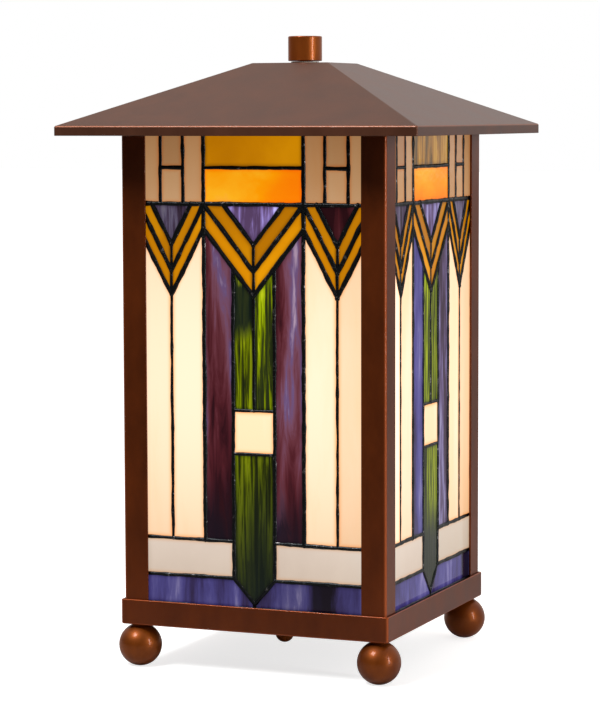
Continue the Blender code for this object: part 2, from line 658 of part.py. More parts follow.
def cord_inlet():
    """Nylon bush that lines the hole where the mains cord comes in."""
    rim = INLET_R + INLET_RIM
    seat, high = TRAY_BOTTOM - GAP, TRAY_FLOOR + GAP + INLET_ABOVE
    low = seat - INLET_RIM_SHEET
    turned("cord_bush", [(INLET_R, high), (INLET_R, seat), (rim, seat), (rim, low),
                         (INLET_BORE_R, low), (INLET_BORE_R, high)],
           NYLON, at=(0.0, INLET_AT, 0.0), closed=True)


def smooth_route(points, count):
    """Points along a Catmull-Rom curve through the given ones."""
    knots = [Vector(p) for p in points]
    knots = [2 * knots[0] - knots[1], *knots, 2 * knots[-1] - knots[-2]]
    route = []
    for a, b, c, d in zip(knots, knots[1:], knots[2:], knots[3:]):
        for i in range(count):
            t = i / count
            route.append(0.5 * (2 * b + (c - a) * t + (2 * a - 5 * b + 4 * c - d) * t ** 2
                                + (3 * b - a - 3 * c + d) * t ** 3))
    return [*route, knots[-2]]


def wire(name, points):
    """An insulated lead with closed ends, as a tube along a smooth route."""
    curve = bpy.data.curves.new(name, "CURVE")
    curve.dimensions = "3D"
    curve.bevel_depth = WIRE_R
    curve.bevel_resolution = 2
    curve.use_fill_caps = True
    route = smooth_route(points, 3)
    spline = curve.splines.new("POLY")
    spline.points.add(len(route) - 1)
    for knot, point in zip(spline.points, route):
        knot.co = (*point, 1.0)
    guide = bpy.data.objects.new(name + "_route", curve)
    CUTTERS.objects.link(guide)
    bpy.context.view_layer.update()
    evaluated = guide.evaluated_get(bpy.context.evaluated_depsgraph_get())
    mesh = bpy.data.meshes.new_from_object(evaluated)
    bpy.data.objects.remove(guide, do_unlink=True)
    bm = bmesh.new()
    bm.from_mesh(mesh)
    bmesh.ops.remove_doubles(bm, verts=bm.verts, dist=0.000001)
    bmesh.ops.recalc_face_normals(bm, faces=bm.faces)
    bm.to_mesh(mesh)
    bm.free()
    place(name, mesh, INSULATION)


def wires():
    """Leads inside the lamp: inlet to switch, inlet to holder, switch to holder."""
    floor = TRAY_FLOOR + WIRE_R + 2 * GAP
    inlet_top = TRAY_FLOOR + 6.5 * MM
    inlet_near, inlet_side = INLET_AT - 1.4 * MM, 1.4 * MM
    switch_top = TRAY_FLOOR + GAP + SWITCH_BODY + GAP
    entry = HOLDER_FLOOR - 3 * MM
    wire("lead_inlet_to_switch", [
        (-inlet_side, INLET_AT, inlet_top), (-4 * MM, INLET_AT - 3 * MM, inlet_top + 4 * MM),
        (-14 * MM, 30 * MM, inlet_top + MM), (-20 * MM, 10 * MM, floor + MM),
        (-20 * MM, -12 * MM, floor + 4 * MM), (-14 * MM, -26 * MM, switch_top),
        (-8 * MM, -32 * MM, switch_top + 6 * MM), (-4.5 * MM, SWITCH_AT, switch_top + 5 * MM),
        (-4 * MM, SWITCH_AT, switch_top + GAP)])
    wire("lead_inlet_to_holder", [
        (inlet_side, inlet_near, inlet_top), (4 * MM, 38 * MM, inlet_top + 5 * MM),
        (3 * MM, 26 * MM, 42 * MM), (0.0, 15 * MM, 50 * MM),
        (0.0, WIRE_DOOR_AT, 57 * MM), (0.0, WIRE_DOOR_AT, entry)])
    wire("lead_switch_to_holder", [
        (4 * MM, SWITCH_AT, switch_top + GAP), (3.8 * MM, -32.5 * MM, switch_top + 3 * MM),
        (2.5 * MM, -26 * MM, switch_top + 6 * MM), (0.5 * MM, -16 * MM, 51 * MM),
        (0.0, -WIRE_DOOR_AT, 57 * MM), (0.0, -WIRE_DOOR_AT, entry)])


base_tray()
feet()
posts()
retainers()
rails()
panels()
roof()
top_fixing()
finial()
lamp_holder()
bulb()
switch()
cord_inlet()
wires()
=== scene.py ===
"""Stained glass table lamp: the finished look of the lantern round its CAD frame.

Metres, +Z up, the front panel faces -Y. Every side is the front turned by quarter turns.
"""
import math
import random

import bmesh
import bpy
from mathutils import Matrix, Vector
from mathutils.geometry import delaunay_2d_cdt


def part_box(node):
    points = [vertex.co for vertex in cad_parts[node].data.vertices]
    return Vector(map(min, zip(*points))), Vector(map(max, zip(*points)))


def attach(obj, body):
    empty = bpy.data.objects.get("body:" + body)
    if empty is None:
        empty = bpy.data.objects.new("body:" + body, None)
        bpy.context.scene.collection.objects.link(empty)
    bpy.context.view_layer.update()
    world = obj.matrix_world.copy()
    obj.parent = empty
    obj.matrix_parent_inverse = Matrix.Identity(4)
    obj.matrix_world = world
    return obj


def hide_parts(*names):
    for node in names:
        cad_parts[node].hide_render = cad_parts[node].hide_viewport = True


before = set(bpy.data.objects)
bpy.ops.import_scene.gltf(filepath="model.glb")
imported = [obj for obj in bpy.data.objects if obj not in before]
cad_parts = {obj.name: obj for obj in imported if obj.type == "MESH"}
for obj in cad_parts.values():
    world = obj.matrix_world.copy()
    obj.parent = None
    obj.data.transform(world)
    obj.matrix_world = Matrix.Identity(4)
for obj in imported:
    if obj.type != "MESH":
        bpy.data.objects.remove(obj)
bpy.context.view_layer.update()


# ---- Camera, floor and light -------------------------------------------------------------
# The lamp stands on a pale sweep, seen from a little above and from its right, between a
# soft key light at the front left and a narrow one at the right, with a bright wall behind.

MM = 0.001
QUARTER = math.pi / 2


def camera_matrix(place, turn, down, roll):
    """Where a camera stands that looks along +Y before it is turned, tipped and rolled."""
    aim = Matrix.Rotation(turn, 4, "Z") @ Matrix.Rotation(QUARTER - down, 4, "X")
    return Matrix.Translation(place) @ aim @ Matrix.Rotation(roll, 4, "Z")


camera = bpy.data.objects.new("camera", bpy.data.cameras.new("camera"))
camera.data.sensor_width = 36.0
camera.data.lens = 138.97
camera.matrix_world = camera_matrix((0.58895, -1.44493, 0.3122), turn=0.38921, down=0.08786,
                                    roll=-0.00273)
bpy.context.scene.collection.objects.link(camera)
bpy.context.scene.camera = camera
bpy.context.scene.view_settings.view_transform = "Standard"


class Field:
    """A number or colour that changes over a surface: one output of one node.

    The usual operators add Math nodes, so an expression reads as arithmetic.
    """

    def __init__(self, graph, socket):
        self.graph = graph
        self.socket = socket

    def math(self, operation, *values):
        return self.graph.node("ShaderNodeMath", {"operation": operation},
                               dict(enumerate(values)))

    def __add__(self, other):
        return self.math("ADD", self, other)

    def __sub__(self, other):
        return self.math("SUBTRACT", self, other)

    def __rsub__(self, other):
        return self.math("SUBTRACT", other, self)

    def __mul__(self, other):
        return self.math("MULTIPLY", self, other)

    def __truediv__(self, other):
        return self.math("DIVIDE", self, other)

    def __rtruediv__(self, other):
        return self.math("DIVIDE", other, self)

    def __pow__(self, other):
        return self.math("POWER", self, other)

    __radd__ = __add__
    __rmul__ = __mul__


def rgb(colour):
    """The three parts of a colour; a single number is a grey."""
    return colour if isinstance(colour, tuple) else (colour, colour, colour)


class Graph:
    """A node tree that is written as expressions."""

    def __init__(self, tree):
        self.tree = tree

    def node(self, kind, settings=None, sockets=None, output=0):
        """Add a node: its settings first, then the values or links of its sockets."""
        node = self.tree.nodes.new(kind)
        for name, value in (settings or {}).items():
            if name == "stops":
                self.stops(node.color_ramp, value)
            else:
                setattr(node, name, value)
        for key, value in (sockets or {}).items():
            if isinstance(value, Field):
                self.tree.links.new(value.socket, node.inputs[key])
            else:
                node.inputs[key].default_value = value
        return Field(self, node.outputs[output]) if node.outputs else node

    def stops(self, ramp, stops):
        while len(ramp.elements) < len(stops):
            ramp.elements.new(1.0)
        for element, (place, colour) in zip(ramp.elements, stops):
            element.position = place
            element.color = (*rgb(colour), 1.0)

    def ramp(self, value, stops):
        """A colour that runs through the stops as the value goes from 0 to 1."""
        return self.node("ShaderNodeValToRGB", {"stops": stops}, {"Fac": value})

    def mix(self, share, first, second, blend="MIX"):
        """Two colours mixed, the second by its share."""
        first, second = (c if isinstance(c, Field) else (*rgb(c), 1.0) for c in (first, second))
        return self.node("ShaderNodeMix", {"data_type": "RGBA", "blend_type": blend},
                         {0: share, 6: first, 7: second}, output=2)

    def scaled(self, vector, size):
        """A vector with each part multiplied."""
        return self.node("ShaderNodeVectorMath", {"operation": "MULTIPLY"},
                         {0: vector, 1: size})

    def noise(self, vector, scale, detail=2.0, roughness=0.5, distortion=0.0):
        return self.node("ShaderNodeTexNoise", None,
                         {"Vector": vector, "Scale": scale, "Detail": detail,
                          "Roughness": roughness, "Distortion": distortion})

    def place(self):
        """The place on the lamp, in metres."""
        return self.node("ShaderNodeTexCoord", output="Object")

    def part(self, vector, axis):
        """One part of a vector: X, Y or Z."""
        return self.node("ShaderNodeSeparateXYZ", None, {0: vector}, output=axis)

    def marked(self, name, output="Fac"):
        """What the mesh says at each place under this name."""
        return self.node("ShaderNodeAttribute", {"attribute_name": name}, output=output)

    def relief(self, height, depth, strength=1.0):
        return self.node("ShaderNodeBump", None,
                         {"Height": height, "Distance": depth, "Strength": strength},
                         output="Normal")


def finish(name, constants):
    """A new material's graph, with what is the same all over set on its shader."""
    material = bpy.data.materials.new(name)
    material.use_nodes = True
    graph = Graph(material.node_tree)
    graph.material = material
    graph.shader = material.node_tree.nodes["Principled BSDF"]
    for socket, value in constants.items():
        graph.shader.inputs[socket].default_value = value
    return graph


def feed(graph, fields):
    """Link what changes over the surface to the shader."""
    for socket, field in fields.items():
        graph.tree.links.new(field.socket, graph.shader.inputs[socket])
    return graph.material


def floor_finish():
    """Pale card: white to the eye but for a soft shadow, and bright to the lamp only behind
    it, so that the front keeps its depth."""
    graph = finish("pale_sweep", {"Roughness": 0.9, "Specular IOR Level": 0.1,
                                  "Emission Strength": 1.0})
    place = graph.place()
    grain = graph.noise(place, 40.0, detail=4.0)
    away = graph.node("ShaderNodeVectorMath", {"operation": "LENGTH"}, {0: place}, output="Value")
    lift = graph.ramp(away, [(0.1, 0.74), (0.3, 0.86), (0.7, 1.0)])
    seen = graph.node("ShaderNodeLightPath", output="Is Camera Ray")
    behind = graph.part(place, "Y") + 0.5
    card = graph.ramp(behind, [(0.15, 0.16), (0.42, 0.5), (0.6, 0.85), (1.0, 0.5)])
    return feed(graph, {
        "Base Color": graph.mix(grain * 0.1, card, 0.9),
        "Emission Color": graph.mix(seen, 0.0, lift)})


def plain_mesh(bm):
    """What has been drawn so far, as a mesh."""
    mesh = bpy.data.meshes.new("mesh")
    bm.to_mesh(mesh)
    bm.free()
    return mesh


def floor_mesh(half, height):
    """A sheet that lies flat under the lamp."""
    bm = bmesh.new()
    bmesh.ops.create_grid(bm, x_segments=2, y_segments=2, size=half)
    bmesh.ops.translate(bm, vec=(0.0, 0.0, height), verts=bm.verts)
    return plain_mesh(bm)


floor = bpy.data.objects.new("floor", floor_mesh(half=12.0, height=-0.05 * MM))
floor.data.materials.append(floor_finish())
bpy.context.scene.collection.objects.link(floor)


def studio_world():
    """White to the eye; to the lamp, a bright ceiling over a dim room, darkest in front."""
    world = bpy.data.worlds.new("studio")
    world.use_nodes = True
    bpy.context.scene.world = world
    graph = Graph(world.node_tree)
    way = graph.node("ShaderNodeTexCoord", output="Generated")
    back = graph.part(way, "Y") * 0.5 + 0.5
    walls = graph.ramp(back, [(0.0, 0.02), (0.5, 0.08), (0.8, 0.5), (1.0, 0.75)])
    ceiling = graph.ramp(back, [(0.2, (0.17, 0.16, 0.15)), (0.6, (0.72, 0.68, 0.65)),
                                (1.0, (0.82, 0.77, 0.73))])
    overhead = graph.ramp(graph.part(way, "Z"), [(0.1, 0.0), (0.6, 1.0)])
    room = graph.mix(overhead, walls, ceiling)
    seen = graph.node("ShaderNodeLightPath", output="Is Camera Ray")
    light = graph.mix(seen, room, 1.0)
    background = world.node_tree.nodes["Background"]
    world.node_tree.links.new(light.socket, background.inputs["Color"])


studio_world()


def soft_light(name, place, size, power, spread):
    """A softbox with a grid, turned to the middle of the lamp."""
    light = bpy.data.lights.new(name, "AREA")
    light.shape = "RECTANGLE"
    light.size, light.size_y = size
    light.energy = power
    light.spread = math.radians(spread)
    obj = bpy.data.objects.new(name, light)
    obj.location = place
    towards = Vector((0.0, 0.0, 0.15)) - Vector(place)
    obj.rotation_euler = towards.to_track_quat("-Z", "Y").to_euler()
    bpy.context.scene.collection.objects.link(obj)


soft_light("key_box", (-0.45, -0.95, 1.4), size=(0.55, 0.55), power=2.6, spread=60)
soft_light("right_strip", (1.5, -0.42, 0.45), size=(0.2, 0.9), power=4.6, spread=120)


# ---- Base tray ---------------------------------------------------------------------------
# A steel sheet folded up on four sides, 14 mm deep, welded and ground at the corners. The
# cage stands in it, and the ball feet are screwed on from inside through its floor.

def srgb(red, green, blue):
    """A colour as a screen shows it, 0 to 255, in linear light."""
    def linear(value):
        value /= 255
        return value / 12.92 if value <= 0.04045 else ((value + 0.055) / 1.055) ** 2.4
    return tuple(linear(value) for value in (red, green, blue))


def bronze_finish(name, low, high, gloss, lacquer=0.3, sheen=0.2):
    """Antique bronze lacquer on steel: dark brown and metallic, mottled where it was wiped,
    with a painted highlight on the marked bends, and a fine orange peel."""
    graph = finish(name, {"Metallic": 0.6, "Coat Weight": lacquer, "Coat Roughness": 0.14,
                          "Specular IOR Level": sheen})
    place = graph.place()
    wiped = graph.noise(graph.scaled(place, (1.0, 1.0, 0.45)), 55.0, detail=5.0, roughness=0.6)
    specks = graph.noise(place, 1400.0, detail=2.0)
    peel = graph.noise(place, 700.0, detail=2.0)
    colour = graph.ramp(wiped, [(0.3, low), (0.7, high)])
    # Painted highlight: the marked bends are mixed towards a much brighter bronze.
    rubbed = graph.marked("rubbed")
    bright = tuple(2.2 * part + 0.015 for part in high)
    colour = graph.mix(rubbed * (0.5 + wiped * 0.6), colour, bright)
    return feed(graph, {
        "Base Color": graph.mix(specks * 0.3, colour, low),
        "Roughness": gloss + wiped * 0.1 + specks * 0.05,
        "Normal": graph.relief(peel, 0.03 * MM, 0.3)})


BRONZE = bronze_finish("antique_bronze", srgb(92, 38, 6), srgb(120, 52, 10), gloss=0.36)
SHEET = 1.2 * MM
SWITCH_AT = -33.0 * MM              # holes in its floor, along Y
INLET_AT = 45.0 * MM
FOOT_AT = 72.3 * MM                 # half the square that the foot screws stand on


def finished(node, mesh, slot, *materials, body="lamp_body", name=None, sharp=35.0):
    """Put a finished mesh on the lamp: it rides on its body and stands for a CAD node."""
    name = name or node + "_finished"
    mesh.name = name
    for material in materials:
        mesh.materials.append(material)
    mesh.shade_smooth()
    mesh.set_sharp_from_angle(angle=math.radians(sharp))
    obj = bpy.data.objects.new(name, mesh)
    bpy.context.scene.collection.objects.link(obj)
    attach(obj, body)
    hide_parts(node)


def filleted(points, radius, steps=4, closed=True):
    """An outline with its corners rounded, and a support point at each end of an arc; the
    radius is one for all corners or a list with one for each."""
    result = []
    count = len(points)
    for i, point in enumerate(points):
        if not closed and i in (0, count - 1):
            result.append(point)
            continue
        corner = Vector(point)
        before = Vector(points[i - 1]) - corner
        after = Vector(points[(i + 1) % count]) - corner
        reach = radius[i] if isinstance(radius, (list, tuple)) else radius
        half = before.angle(after) / 2
        back = min(reach / math.tan(half), before.length * 0.45, after.length * 0.45)
        if back < 0.02 * MM:
            result.append(point)
            continue
        round_r = back * math.tan(half)
        middle = corner + (before.normalized() + after.normalized()).normalized() * (
            round_r / math.sin(half))
        start, end = corner + before.normalized() * back, corner + after.normalized() * back
        a, b = start - middle, end - middle
        sweep = a.angle(b)
        side = 1.0 if a.x * b.y - a.y * b.x > 0 else -1.0
        support = min(0.25 * MM, back * 0.1)
        result.append(tuple(start + before.normalized() * support))
        for k in range(steps + 1):
            turn = side * sweep * k / steps
            x, y = a.x, a.y
            result.append((middle.x + x * math.cos(turn) - y * math.sin(turn),
                           middle.y + x * math.sin(turn) + y * math.cos(turn)))
        result.append(tuple(end + after.normalized() * support))
    return result


def mark_highlight_bends(mesh, highlight_band):
    """Mark the bends that get a painted highlight: the test tells whether a place is on one."""
    marks = mesh.attributes.new("rubbed", "FLOAT", "POINT")
    marks.data.foreach_set("value", [float(highlight_band(vert.co)) for vert in mesh.vertices])


def mesh_of(bm):
    """A closed shell with its seams merged and its faces outwards."""
    bmesh.ops.remove_doubles(bm, verts=bm.verts, dist=0.002 * MM)
    bmesh.ops.recalc_face_normals(bm, faces=bm.faces)
    return plain_mesh(bm)


def skinned(rings, closed_up=True):
    """A skin over a row of rings with the same number of points each."""
    bm = bmesh.new()
    rows = [[bm.verts.new(point) for point in ring] for ring in rings]
    pairs = list(zip(rows, rows[1:]))
    if closed_up:
        pairs.append((rows[-1], rows[0]))
    for low, high in pairs:
        for i in range(len(low)):
            j = (i + 1) % len(low)
            bm.faces.new((low[i], low[j], high[j], high[i]))
    return bm


def square_ring(half, height, corner):
    """A square round the lamp's axis with rounded corners."""
    flat = [(half, -half), (half, half), (-half, half), (-half, -half)]
    return [(x, y, height) for x, y in filleted(flat, min(corner, half * 0.9), steps=3)]


def folded_square(profile, corner):
    """A sheet-metal shape that is square in plan, from its section's (distance, height)
    points; corner is the outer bend radius, and inner sheets follow it."""
    widest = max(distance for distance, _ in profile)
    rings = [square_ring(d, z, max(corner - (widest - d) * 0.02, 0.3 * MM)) for d, z in profile]
    return mesh_of(skinned(rings))


def pegs(places):
    """Round cutters that stand upright: (x, y, radius, low, high) each."""
    bm = bmesh.new()
    for x, y, radius, low, high in places:
        bmesh.ops.create_cone(bm, cap_ends=True, segments=32, radius1=radius, radius2=radius,
                              depth=high - low,
                              matrix=Matrix.Translation((x, y, (low + high) / 2)))
    return plain_mesh(bm)


def cut_away(mesh, cutter):
    """What is left of a mesh once a cutter's shape is taken out of it."""
    piece, tool = (bpy.data.objects.new("cut", data) for data in (mesh, cutter))
    for obj in (piece, tool):
        bpy.context.scene.collection.objects.link(obj)
    modifier = piece.modifiers.new("cut", "BOOLEAN")
    modifier.solver = "EXACT"
    modifier.object = tool
    evaluated = piece.evaluated_get(bpy.context.evaluated_depsgraph_get())
    result = bpy.data.meshes.new_from_object(evaluated)
    for obj in (piece, tool):
        bpy.data.objects.remove(obj, do_unlink=True)
    return result


def base_tray():
    low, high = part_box("base_tray")
    outer, bottom, top = high.x, low.z, high.z
    inner, floor_top = outer - SHEET, bottom + SHEET
    pipe_hole, switch_hole, inlet_hole, screw_hole = 5.1 * MM, 4.3 * MM, 4.9 * MM, 2.3 * MM
    section = [(pipe_hole, bottom), (outer, bottom), (outer, top), (inner, top),
               (inner, floor_top), (pipe_hole, floor_top)]
    radii = [0.0, 0.9 * MM, 0.45 * MM, 0.45 * MM, 0.3 * MM, 0.0]
    mesh = folded_square(filleted(section, radii), corner=1.4 * MM)
    drill = [(0.0, SWITCH_AT, switch_hole), (0.0, INLET_AT, inlet_hole)]
    drill += [(x, y, screw_hole) for x in (-FOOT_AT, FOOT_AT) for y in (-FOOT_AT, FOOT_AT)]
    mesh = cut_away(mesh, pegs([(*at, bottom - MM, floor_top + MM) for at in drill]))
    rim, fold, corner = top - 0.35 * MM, bottom + 0.7 * MM, outer - 1.2 * MM
    # Painted highlight on the tray's top edge, bottom fold and corners.
    mark_highlight_bends(mesh, lambda co: max(abs(co.x), abs(co.y)) > outer - 0.7 * MM and (
        co.z > rim or co.z < fold or min(abs(co.x), abs(co.y)) > corner))
    finished("base_tray", mesh, "bronze_paint", BRONZE)


base_tray()


# ---- Ball feet ---------------------------------------------------------------------------
# Four turned 24 mm balls under the tray's corners, standing out past its walls. Each has a
# short neck that takes its screw, and a small flat that rests on the table.

CORNERS = ("front_left", "front_right", "back_right", "back_left")
FOOT_NECK_R, FOOT_NECK = 4.6 * MM, 1.0 * MM
FOOT_FLAT_R = 2.69 * MM
FOOT_BRONZE = bronze_finish("foot_bronze", srgb(108, 48, 8), srgb(156, 80, 20), gloss=0.36,
                            lacquer=0.25)


def turned(profile, steps=48, closed=False, at=(0.0, 0.0)):
    """A turned piece: (radius, height) points from the axis round to the axis, or round a
    ring's whole section if closed."""
    bm = bmesh.new()
    rows = []
    turns = [math.tau * i / steps for i in range(steps)]
    for radius, height in profile:
        if radius < 0.001 * MM:
            rows.append([bm.verts.new((at[0], at[1], height))] * steps)
            continue
        rows.append([bm.verts.new((at[0] + radius * math.cos(turn),
                                   at[1] + radius * math.sin(turn), height))
                     for turn in turns])
    pairs = list(zip(rows, rows[1:]))
    if closed:
        pairs.append((rows[-1], rows[0]))
    for low, high in pairs:
        for i in range(steps):
            j = (i + 1) % steps
            corners = []
            for vert in (low[i], low[j], high[j], high[i]):
                if vert not in corners:
                    corners.append(vert)
            if len(corners) > 2:
                bm.faces.new(corners)
    return mesh_of(bm)


def foot_ball(corner):
    low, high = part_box("foot_ball_" + corner)
    centre = (low + high) / 2
    radius = (high.x - low.x) / 2
    middle = low.z + math.sqrt(radius ** 2 - FOOT_FLAT_R ** 2)
    neck = high.z
    top = math.asin((neck - FOOT_NECK - middle) / radius)
    bottom = -math.asin((middle - low.z) / radius)
    side = [(radius * math.cos(angle), middle + radius * math.sin(angle))
            for angle in (top + (bottom - top) * i / 24 for i in range(25))]
    profile = [(0.0, neck), *filleted([(0.0, neck), (FOOT_NECK_R, neck), side[0]],
                                      0.3 * MM, 2, closed=False)[1:], *side[1:], (0.0, low.z)]
    mesh = turned(profile, steps=56, at=centre.xy)
    finished("foot_ball_" + corner, mesh, "bronze_paint", FOOT_BRONZE,
             name="foot_ball_finished_" + corner)


for corner in CORNERS:
    foot_ball(corner)


def plated_finish():
    graph = finish("zinc_plate", {"Metallic": 1.0})
    place = graph.place()
    spangle = graph.node("ShaderNodeTexVoronoi", None, {"Vector": place, "Scale": 260.0},
                         output="Distance")
    grain = graph.noise(place, 900.0, detail=3.0)
    return feed(graph, {
        "Base Color": graph.mix(spangle, srgb(170, 172, 176), srgb(128, 128, 130)),
        "Roughness": 0.28 + grain * 0.2,
        "Normal": graph.relief(grain, 0.02 * MM, 0.4)})


PLATED = plated_finish()


def foot_screw(corner):
    """A domed screw with a slot, driven down into the ball; each stopped at its own turn."""
    node = "foot_screw_" + corner
    low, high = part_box(node)
    centre = (low + high) / 2
    head_r, shank_r = (high.x - low.x) / 2, 2.0 * MM
    rim, dome_high = 0.8 * MM, 1.6 * MM
    seat = high.z - rim - dome_high
    dome = [(head_r * math.cos(a), seat + rim + dome_high * math.sin(a))
            for a in (QUARTER * i / 8 for i in range(9))]
    mesh = turned([(0.0, low.z), (shank_r * 0.5, low.z), (shank_r, low.z + MM),
                   (shank_r, seat), (head_r, seat), *dome[:-1], (0.0, high.z)], steps=32,
                  at=centre.xy)
    slot = bmesh.new()
    bmesh.ops.create_cube(slot, size=1.0, matrix=Matrix.Translation((*centre.xy, high.z))
                          @ Matrix.Rotation(0.6 + centre.x * 30.0, 4, "Z")
                          @ Matrix.Diagonal((1.1 * MM, 9.0 * MM, 1.8 * MM, 1.0)))
    finished(node, cut_away(mesh, mesh_of(slot)), "plated_steel", PLATED)


for corner in CORNERS:
    foot_screw(corner)


# ---- Cage --------------------------------------------------------------------------------
# Four bent steel angles are the posts. Mitred angles tie them at the bottom, where the glass
# stands, and at the top, under the roof; inner angles hold the glass from behind.

SIDES = ("front", "right", "back", "left")
POST_BEND = 1.5 * MM
EASE = 0.3 * MM                     # how far the cut edges of the angles are eased


def post(corner, turn):
    """An upright angle, drawn for the front left corner and then turned."""
    low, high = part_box("corner_post_" + corner)
    outer = max(abs(low.x), abs(high.x))
    leg = high.x - low.x
    inner = outer - SHEET
    section = [(-outer, -outer + leg), (-outer, -outer), (-outer + leg, -outer),
               (-outer + leg, -inner), (-inner, -inner), (-inner, -outer + leg)]
    outline = filleted(section, [EASE, POST_BEND, EASE, EASE, 0.4 * MM, EASE], 5)
    bm = skinned([[(x, y, z) for x, y in outline] for z in (low.z, high.z)], closed_up=False)
    bmesh.ops.holes_fill(bm, edges=bm.edges)
    mesh = mesh_of(bm)
    # Painted highlight down the outer bend of the angle.
    mark_highlight_bends(mesh, lambda co: (co.xy - Vector((-outer, -outer))).length < POST_BEND * 0.97)
    mesh.transform(Matrix.Rotation(turn, 4, "Z"))
    finished("corner_post_" + corner, mesh, "bronze_paint", BRONZE,
             name="post_finished_" + corner)


for index, corner in enumerate(CORNERS):
    post(corner, index * QUARTER)


def eased(node, width):
    """A CAD node's shape with its sharp edges eased, as on bent and ground sheet."""
    bm = bmesh.new()
    bm.from_mesh(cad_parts[node].data)
    bm.transform(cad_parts[node].matrix_world)
    bmesh.ops.remove_doubles(bm, verts=bm.verts, dist=0.002 * MM)
    bmesh.ops.dissolve_limit(bm, angle_limit=math.radians(2), verts=bm.verts, edges=bm.edges)
    sharp = [edge for edge in bm.edges if edge.calc_face_angle(0.0) > math.radians(25)]
    bmesh.ops.bevel(bm, geom=sharp, offset=width, segments=3, profile=0.5, affect="EDGES",
                    clamp_overlap=True)
    return mesh_of(bm)


for kind, places in (("bottom_rail_", SIDES), ("top_rail_", SIDES), ("retainer_", CORNERS)):
    for place in places:
        finished(kind + place, eased(kind + place, EASE), "bronze_paint", BRONZE,
                 name=kind + "finished_" + place)


# ---- Art glass ---------------------------------------------------------------------------
# Each side is 39 pieces of 3 mm opalescent sheet glass, cut by hand and ground to fit. Every
# colour is its own streaky sheet, lit from behind by the bulb.

COL_SPEAR = 12.4 * MM               # distances from the panel's middle
COL_MAIN = 29.8 * MM
COL_TOP_INNER = 42.4 * MM
COL_STEM = 49.6 * MM
COL_TOP_OUTER = 56.0 * MM
COL_EDGE = 2 * COL_STEM - COL_MAIN
ROW_BOTTOM = 37.2 * MM              # heights above the table
ROW_POINT = 39.8 * MM
ROW_KICK = 53.8 * MM
ROW_RAIL = 74.6 * MM
ROW_SQUARE_LOW = 123.8 * MM
ROW_SQUARE_HIGH = 148.0 * MM
ROW_V_LOW = 211.5 * MM
ROW_V_MID = 225.0 * MM
ROW_V_HIGH = 239.5 * MM
ROW_BAND = 262.0 * MM
ROW_SPLIT = 282.0 * MM
ROW_TOP = 308.0 * MM
CENTRE_SLOPE = (ROW_BAND - ROW_V_MID) / COL_MAIN
SIDE_SLOPE = (ROW_BAND - ROW_V_MID) / (COL_STEM - COL_MAIN)
CENTRE_V = (ROW_BAND - ROW_V_HIGH) / CENTRE_SLOPE
SIDE_V = (ROW_BAND - ROW_V_HIGH) / SIDE_SLOPE
SHOULDER = ROW_V_LOW + ROW_BAND - ROW_V_MID
SPEAR_TOP = ROW_V_LOW + COL_SPEAR * CENTRE_SLOPE
LEAD = 2.5 * MM
UNDER_LEAD = 0.7 * MM               # how far the glass runs in under the solder
GLOW_EDGES = (3.0 * MM, 2.2 * MM, 1.4 * MM, 0.7 * MM)   # a piece has the widest rim that fits
ARRIS = 0.35 * MM                   # the ground edge of a piece


def upright(left, right, low, high):
    return [(left, low), (right, low), (right, high), (left, high)]


# Strips that were cut from another sheet than the rest of their kind.
OTHER_SHEET = {
    "right_left_plum_strip": "violet", "right_right_plum_strip": "purple",
    "left_right_plum_strip": "purple", "back_left_side_triangle": "plum",
    "front_right_side_triangle": "plum", "right_middle_top": "olive", "left_middle_top": "olive"}
# Pieces that came out brighter or darker than the rest of their kind.
LEVELS = {
    "front_right_leaf": 1.8, "front_left_side_triangle": 0.72, "front_left_plum_strip": 0.92,
    "front_right_bar": 0.95, "front_right_side_triangle": 1.3, "front_right_tall_inner": 0.95,
    "front_right_tall_outer": 0.94, "front_middle_spear": 0.95, "front_right_foot": 0.75,
    "right_left_tall_outer": 1.35, "right_right_tall_outer": 0.9, "right_right_bar": 0.88,
    "right_left_foot": 1.25, "right_right_foot": 1.2, "right_left_leaf": 1.3,
    "right_middle_top": 0.9, "right_middle_triangle": 0.6, "right_right_plum_strip": 0.9,
    "right_left_plum_strip": 1.2, "right_middle_band": 1.05, "back_left_leaf": 1.2,
    "back_right_tall_inner": 0.96, "left_right_leaf": 1.25, "left_left_tall_outer": 1.06}


